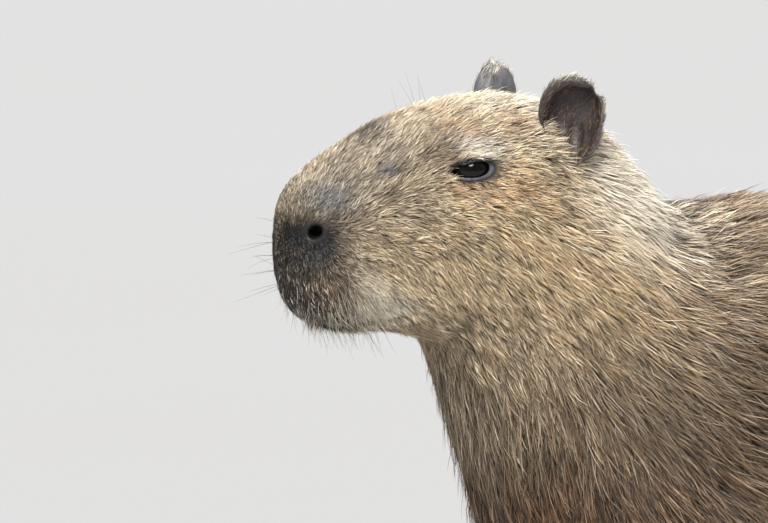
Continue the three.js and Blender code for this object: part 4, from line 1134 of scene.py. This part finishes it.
def tuft_colours(T, kind):
    c = coat_colour(T["root"])
    shade, tag = T["shade"], T["tag"]
    light = c @ np.array([0.3, 0.59, 0.11])
    T["fade"] = 0.6 * step(light, 0.46, 0.72)
    dim = 1 - step(light, 0.045, 0.13)
    bright = mix(mix(0.5, 1.34, shade) * mix(0.66, 1.22, tag), 1.02, T["fade"])
    bright = bright * mix(1, mix(0.7, 2.3, shade**2), dim)
    pale = (shade > 0.78) * np.clip(light * 1.3 - 0.03, 0, 0.45)
    dark = (shade < 0.16) * 0.6
    c = mix(c, BONE, pale[:, None])
    c = mix(c, UMBER * np.clip(light * 3, 0.4, 1)[:, None], dark[:, None])
    # a few long pale hairs hang over the dark lips
    s, h = T["root"][:, 0] - NOSE_X, T["root"][:, 2] - NOSE_Z
    lip = step(60 - s, 0, 14) * step(-h, 16, 44) * (shade > 0.9)
    c = mix(c, linear((186, 176, 156)), (lip * 0.7)[:, None])
    on_ear, inner, rim = ear_near(T["root"]), ear_inner(T["root"]), ear_rim(T["root"])
    c = mix(c, linear((88, 78, 70)), (on_ear * 0.9)[:, None])
    c = mix(c, linear((140, 116, 92)), (inner * 0.8 * (shade > 0.35))[:, None])
    c = mix(c, CREAM, (rim * 0.85 * (shade > 0.3))[:, None])
    return c * bright[:, None]


def build_tufts(name, T, keep, levels, mat, mirror_tip=1.0):
    """One mesh of tapered strips: two points at each level and one at the tip."""
    m = len(keep)
    take = {k: T[k][keep] for k in ("root", "n", "t", "b", "w", "L", "roll", "shade", "tag", "colour", "fade")}
    vs = np.linspace(0, 1, levels + 1)
    per = 2 * levels + 1
    V = np.zeros((m, per, 3))
    C = np.zeros((m, per, 3))
    across = take["b"] * np.cos(take["roll"])[:, None] + take["n"] * np.sin(take["roll"])[:, None]
    taper_at = {2: (0.55, 1.0), 3: (0.5, 1.0, 0.72)}[levels]
    # Painted shade and light along each tuft: dark at the root, where the coat shades itself, and lighter than the
    # coat's colour towards the tip, where light catches it; on pale coat the change is smaller.
    root_shade_tip_light = {2: (0.32, 0.95, 1.3), 3: (0.26, 0.7, 1.06, 1.35)}[levels]
    for i, v in enumerate(vs):
        mid = T["spine"](v)[keep]
        if i < levels:
            half = across * (take["w"] * taper_at[i] / 2)[:, None]
            V[:, 2 * i], V[:, 2 * i + 1] = mid - half, mid + half
            C[:, 2 * i] = C[:, 2 * i + 1] = take["colour"] * mix(root_shade_tip_light[i], 1.0, take["fade"])[:, None]
        else:
            V[:, 2 * i] = mid
            C[:, 2 * i] = take["colour"] * mix(root_shade_tip_light[i], 1.08, take["fade"])[:, None]
    V[:, :, 2] = np.maximum(V[:, :, 2], 0.4)
    base = (np.arange(m) * per)[:, None]
    quads_ = [base + np.array([2 * i, 2 * i + 1, 2 * i + 3, 2 * i + 2]) for i in range(levels - 1)]
    tip = base + np.array([2 * levels - 2, 2 * levels - 1, 2 * levels])
    flat = np.concatenate([*quads_, tip], 1).ravel()
    sizes = np.tile([4] * (levels - 1) + [3], m)
    ob = mesh_object(name, V.reshape(-1, 3), flat, sizes)
    paint(ob, "tint", np.clip(C.reshape(-1, 3), 0, 1))
    lane = np.zeros((m, per))
    start = take["shade"] * 917 + take["tag"] * 331
    hairs = take["w"] / 0.42
    for i in range(levels):
        lane[:, 2 * i], lane[:, 2 * i + 1] = start, start + hairs
    lane[:, -1] = start + hairs / 2
    att = ob.data.attributes.new("lane", "FLOAT", "POINT")
    att.data.foreach_set("value", lane.astype(F).ravel())
    uv0 = atlas(take["root"], take["n"])
    span = 0.003
    local = np.zeros((per, 2))
    for i in range(levels):
        local[2 * i], local[2 * i + 1] = (0.1, i / levels), (0.9, i / levels)
    local[-1] = (0.5, 1)
    uv = uv0[:, None, :] + (local[None] - 0.5) * span
    layer = ob.data.uv_layers.new(name="OFBake")
    layer.uv.foreach_set("vector", uv.reshape(-1, 2)[flat].astype(F).ravel())
    ob.data.materials.append(mat)
    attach(ob, "root")
    return ob


TOTAL = 380000
R, n = pick_roots(P, N, quads, style, TOTAL, 31)
T = make_tufts(R, n, 33)
T["colour"] = tuft_colours(T, "coat")
fur = coat_material()
length = T["L"]
long_ones = length > 15.5
for kind, mask, levels, cap in (("short", ~long_ones, 2, 64000), ("long", long_ones, 3, 38500)):
    ids = np.flatnonzero(mask)
    ids = ids[np.argsort(T["root"][ids, 0], kind="stable")]
    pieces = max(1, math.ceil(len(ids) / cap))
    for i, part in enumerate(np.array_split(ids, pieces)):
        ob = build_tufts(f"coat_{kind}_{i + 1}", T, part, levels, fur)
    print(kind, len(ids), "tufts in", pieces, "pieces")


def over_lip(P):
    s, h = P[:, 0] - NOSE_X, P[:, 2] - NOSE_Z
    return step(s, 14, 24) * step(72 - s, 0, 16) * step(-h, 24, 44)


def guard_style(P):
    """Long thin hairs that lie over the coat, from the cheeks back."""
    s, z = P[:, 0] - NOSE_X, P[:, 2]
    length = np.interp(s, [60, 150, 230, 300, 380, 480, 1060], [11, 18, 32, 44, 38, 28, 26])
    width = np.interp(s, [60, 200, 300, 500, 1060], [0.34, 0.42, 0.5, 0.8, 0.9])
    cover = np.interp(s, [50, 90, 200, 300, 450, 700, 1060], [0, 0.3, 0.55, 0.6, 0.3, 0.22, 0.22]) * step(z, 150, 260)
    lip = over_lip(P)
    length, width, cover = mix(length, 15, lip), mix(width, 0.34, lip), np.maximum(cover, 0.55 * lip)
    a, b, o = eye_coords(P[:, 0], P[:, 1], P[:, 2])
    return length, width, cover * (1 - np.exp(-((a / 34) ** 2 + (b / 28) ** 2))) * (1 - step(ear_near(P), 0.0, 0.12))


GR, gn = pick_roots(P, N, quads, guard_style, 40000, 51)
G = make_tufts(GR, gn, 53, guard_style, mix(0.7, 1.8, over_lip(GR)))
G["colour"] = mix(tuft_colours(G, "guard"), mix(coat_colour(GR), BONE, 0.3) * 1.05, 0.7)
G["colour"] = mix(G["colour"], linear((196, 186, 166)), (over_lip(GR) * 0.85)[:, None])
order = np.argsort(GR[:, 0], kind="stable")
for i, part in enumerate(np.array_split(order, max(1, math.ceil(len(order) / 38500)))):
    build_tufts(f"coat_guard_{i + 1}", G, part, 3, fur)
print("guard", len(GR))


# ---------------------------------------------------------------- whiskers and other long single hairs
def strands(name, roots, ways, lengths, radius, colour, droop, mat, seed):
    """Thin tapered rods with a bend, three-sided, from arrays."""
    g = np.random.default_rng(seed)
    m, levels = len(roots), 7
    V, C = np.zeros((m, levels * 3 + 1, 3)), np.zeros((m, levels * 3 + 1, 3))
    ways = ways / np.linalg.norm(ways, axis=1)[:, None]
    ref = np.where(np.abs(ways[:, 2:3]) > 0.9, [[1.0, 0, 0]], [[0, 0, 1.0]])
    a = np.cross(ways, ref)
    a /= np.linalg.norm(a, axis=1)[:, None]
    b = np.cross(ways, a)
    bend = a * g.normal(0, 0.12, m)[:, None] + b * g.normal(0, 0.12, m)[:, None] + np.array([0, 0, -1.0]) * droop
    for i in range(levels + 1):
        v = i / levels
        mid = roots + ways * (lengths * v)[:, None] + bend * (lengths * v * v)[:, None]
        r = radius * (1 - 0.8 * v)
        if i < levels:
            for q in range(3):
                ang = q * 2 * math.pi / 3
                V[:, 3 * i + q] = mid + (a * math.cos(ang) + b * math.sin(ang)) * r
                C[:, 3 * i + q] = colour
        else:
            V[:, -1] = mid
            C[:, -1] = colour
    base = (np.arange(m) * (levels * 3 + 1))[:, None]
    polys, sizes = [], []
    for i in range(levels - 1):
        for q in range(3):
            r = (q + 1) % 3
            polys.append(base + np.array([3 * i + q, 3 * i + r, 3 * i + 3 + r, 3 * i + 3 + q]))
            sizes.append(4)
    for q in range(3):
        polys.append(base + np.array([3 * levels - 3 + q, 3 * levels - 3 + (q + 1) % 3, 3 * levels]))
        sizes.append(3)
    flat = np.concatenate(polys, 1).ravel()
    ob = mesh_object(name, V.reshape(-1, 3), flat, np.tile(sizes, m))
    paint(ob, "tint", C.reshape(-1, 3))
    ob.data.materials.append(mat)
    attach(ob, "root")
    return ob


def on_skin(places):
    """Points pushed on to the skin from rough places (behind the nose, out, above the nose), and the way out of it."""
    Q = np.array([[p[0] + NOSE_X, p[1], p[2] + NOSE_Z] for p in places], F)
    for _ in range(12):
        f, g = gradient(Q)
        Q = Q - (g * (f / np.maximum((g * g).sum(1), 0.05))[:, None] * 0.8).astype(F)
    f, g = gradient(Q)
    return Q.astype(float), g / np.linalg.norm(g, axis=1)[:, None]


g = np.random.default_rng(71)
places = []
for side in (-1, 1):
    for row in range(5):
        for i in range(6):
            places.append((8 + 6.5 * i + 2 * (row % 2) + g.normal(0, 1), side * (26 + 2.2 * i), 2 - 10 * row - 0.6 * i + g.normal(0, 1.2)))
places = [p for p in places if math.hypot(p[0] - NOSTRIL["s"], p[2] - NOSTRIL["z"]) > 9]
W, wn = on_skin(places)
side = np.sign(W[:, 1])
ways = wn * 0.8 + np.stack([-0.55 + 0.028 * (W[:, 0] - NOSE_X), side * 0.25, g.normal(0.02, 0.25, len(W))], 1)
whiskers = strands("whiskers", W - wn * 0.5, ways, g.uniform(18, 44, len(W)), 0.15, linear((70, 62, 56)), 0.12, fur, 72)
places = [(g.uniform(8, 70), g.uniform(-36, 36), g.uniform(-74, -60)) for _ in range(30)]
W, wn = on_skin(places)
ways = wn * 0.4 + np.array([0.6, 0, -0.75])
chin = strands("chin_hairs", W - wn * 0.5, ways, g.uniform(12, 32, len(W)), 0.14, linear((74, 64, 54)), 0.0, fur, 73)
places = [(g.uniform(4, 58), sd * g.uniform(6, 46), g.uniform(-62, -14)) for sd in (-1, 1) for _ in range(150)]
W, wn = on_skin(places)
ways = wn * 0.28 + np.array([0.3, 0, -1.0]) + g.normal(0, 0.1, (len(W), 3))
lip = strands("lip_hairs", W - wn * 0.5, ways, g.uniform(9, 20, len(W)), 0.21, linear((206, 197, 180)), 0.0, fur, 75)
places = [(g.uniform(92, 150), sd * g.uniform(24, 46), g.uniform(66, 92)) for sd in (-1, 1) for _ in range(5)]
W, wn = on_skin(places)
ways = wn * 0.8 + np.array([-0.1, 0, 0.6])
brow = strands("brow_hairs", W - wn * 0.5, ways, g.uniform(20, 40, len(W)), 0.13, linear((60, 48, 40)), 0.0, fur, 74)

# ---------------------------------------------------------------- eyes
eyes = []
eye_mat = eye_material()
for side, label in ((-1, "left"), (1, "right")):
    nrm, u, v = eye_frame(side)
    rows, cols = 40, 64
    V, C = [], []
    for i in range(rows + 1):
        th = math.pi * i / rows
        for j in range(cols):
            ph = 2 * math.pi * j / cols
            # the clear front swells a little beyond the ball
            r = (EYE_R - 0.35) * (1 + 0.035 * math.exp(-((th / 0.62) ** 2)))
            V.append(EYE * [1, side, 1] + r * (nrm * math.cos(th) + (u * math.cos(ph) + v * math.sin(ph)) * math.sin(th)))
            iris, pupil = 0.86, 0.42 * (1 + 0.25 * math.cos(2 * ph))
            dark = linear((9, 7, 7))
            brown = linear((22, 14, 11)) * (1 + 0.25 * math.sin(23 * ph))
            white = linear((26, 20, 18))
            k = 1 / (1 + math.exp((th - iris) * 22))
            q = 1 / (1 + math.exp((th - pupil) * 26))
            C.append((white * (1 - k) + brown * k) * (1 - q) + dark * q)
    V, C = np.array(V), np.array(C)
    i, j = np.meshgrid(np.arange(rows), np.arange(cols), indexing="ij")
    a, b = i * cols + j, i * cols + (j + 1) % cols
    faces = np.stack([a, a + cols, b + cols, b], -1).reshape(-1, 4)
    ball = mesh_object("eyeball_" + label, V, faces)
    centre = V.mean(0)
    q = faces[len(faces) // 2]
    face_n = np.cross(V[q[1]] - V[q[0]], V[q[2]] - V[q[0]])
    if face_n.dot(V[q].mean(0) - centre) < 0:
        ball.data.flip_normals()
    paint(ball, "tint", C)
    ball.data.materials.append(eye_mat)
    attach(ball, "root")
    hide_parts("eye_" + label)
    eyes.append(ball)

# ---------------------------------------------------------------- nails, kept from the solids
horn = horn_material()
for name, node in frame["nodes"].items():
    if name.startswith("claw_"):
        node.data.materials.clear()
        node.data.materials.append(horn)
        bevel = node.modifiers.new("round", "BEVEL")
        bevel.width, bevel.segments, bevel.limit_method = 0.0009, 3, "ANGLE"
        bevel.angle_limit = math.radians(24)
        for p in node.data.polygons:
            p.use_smooth = True
        smooth = node.modifiers.new("soft", "WEIGHTED_NORMAL")

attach(skin, "root")
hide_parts(*[n for n in frame["nodes"] if not n.startswith(("claw_", "eye_"))])


# ---------------------------------------------------------------- floor, light, camera
def floor():
    me = bpy.data.meshes.new("floor")
    me.from_pydata([(-30, -30, 0), (30, -30, 0), (30, 30, 0), (-30, 30, 0)], [], [(0, 1, 2, 3)])
    ob = bpy.data.objects.new("floor", me)
    bpy.context.scene.collection.objects.link(ob)
    mat = bpy.data.materials.new("floor")
    t, nd, l, p = nodes_of(mat)
    coord, tex = nd.new("ShaderNodeTexCoord"), nd.new("ShaderNodeTexNoise")
    tex.inputs["Scale"].default_value = 0.6
    l.new(coord.outputs["Object"], tex.inputs["Vector"])
    ramp = nd.new("ShaderNodeMixRGB")
    ramp.inputs["Color1"].default_value = (0.325, 0.32, 0.315, 1)
    ramp.inputs["Color2"].default_value = (0.33, 0.334, 0.345, 1)
    l.new(tex.outputs["Fac"], ramp.inputs["Fac"])
    l.new(ramp.outputs["Color"], p.inputs["Base Color"])
    p.inputs["Roughness"].default_value = 0.9
    me.materials.append(mat)
    return ob


floor()


def sun(name, way, strength, angle, colour):
    """Even light from one side, the wider its angle the softer."""
    data = bpy.data.lights.new(name, "SUN")
    data.energy, data.angle, data.color = strength, math.radians(angle), colour
    ob = bpy.data.objects.new(name, data)
    ob.rotation_mode = "QUATERNION"
    ob.rotation_quaternion = Vector(way).to_track_quat("Z", "Y")
    bpy.context.scene.collection.objects.link(ob)


sun("key", (-1.5, -2.1, 2.9), 4.1, 30, (1, 0.985, 0.95))
sun("sky", (0.5, 0.95, 2.7), 3.3, 80, (0.99, 0.985, 0.98))
world = bpy.data.worlds.new("world")
bpy.context.scene.world = world
world.use_nodes = True
world.node_tree.nodes["Background"].inputs["Color"].default_value = (0.86, 0.88, 0.92, 1)
world.node_tree.nodes["Background"].inputs["Strength"].default_value = 0.3

AZ, EL = math.radians(-27), math.radians(6)
DISTANCE, PX_PER_MM = 10.0, 1.43
back = Vector((math.sin(AZ) * math.cos(EL), -math.cos(AZ) * math.cos(EL), math.sin(EL)))
right = Vector((math.cos(AZ), math.sin(AZ), 0))
up = back.cross(right)
cam_data = bpy.data.cameras.new("camera")
cam_data.sensor_width = 36
cam_data.lens = 36 * DISTANCE / (768 / PX_PER_MM / 1000)
cam_data.clip_start, cam_data.clip_end = 0.1, 200
cam = bpy.data.objects.new("camera", cam_data)
bpy.context.scene.collection.objects.link(cam)
bpy.context.scene.camera = cam
nose = Vector((-0.530, 0, 0.540))
aim = nose + right * ((384 - 283) / PX_PER_MM / 1000) - up * ((261.5 - 235) / PX_PER_MM / 1000)
aim = aim - back * (aim - Vector((-0.40, -0.05, 0.56))).dot(back)  # into the plane of the near eye
cam.location = aim + back * DISTANCE
cam.rotation_mode = "QUATERNION"
cam.rotation_quaternion = back.to_track_quat("Z", "Y")

scene = bpy.context.scene
scene.view_settings.view_transform = "Standard"
scene.view_settings.look = "None"
scene.view_settings.exposure = 0.0
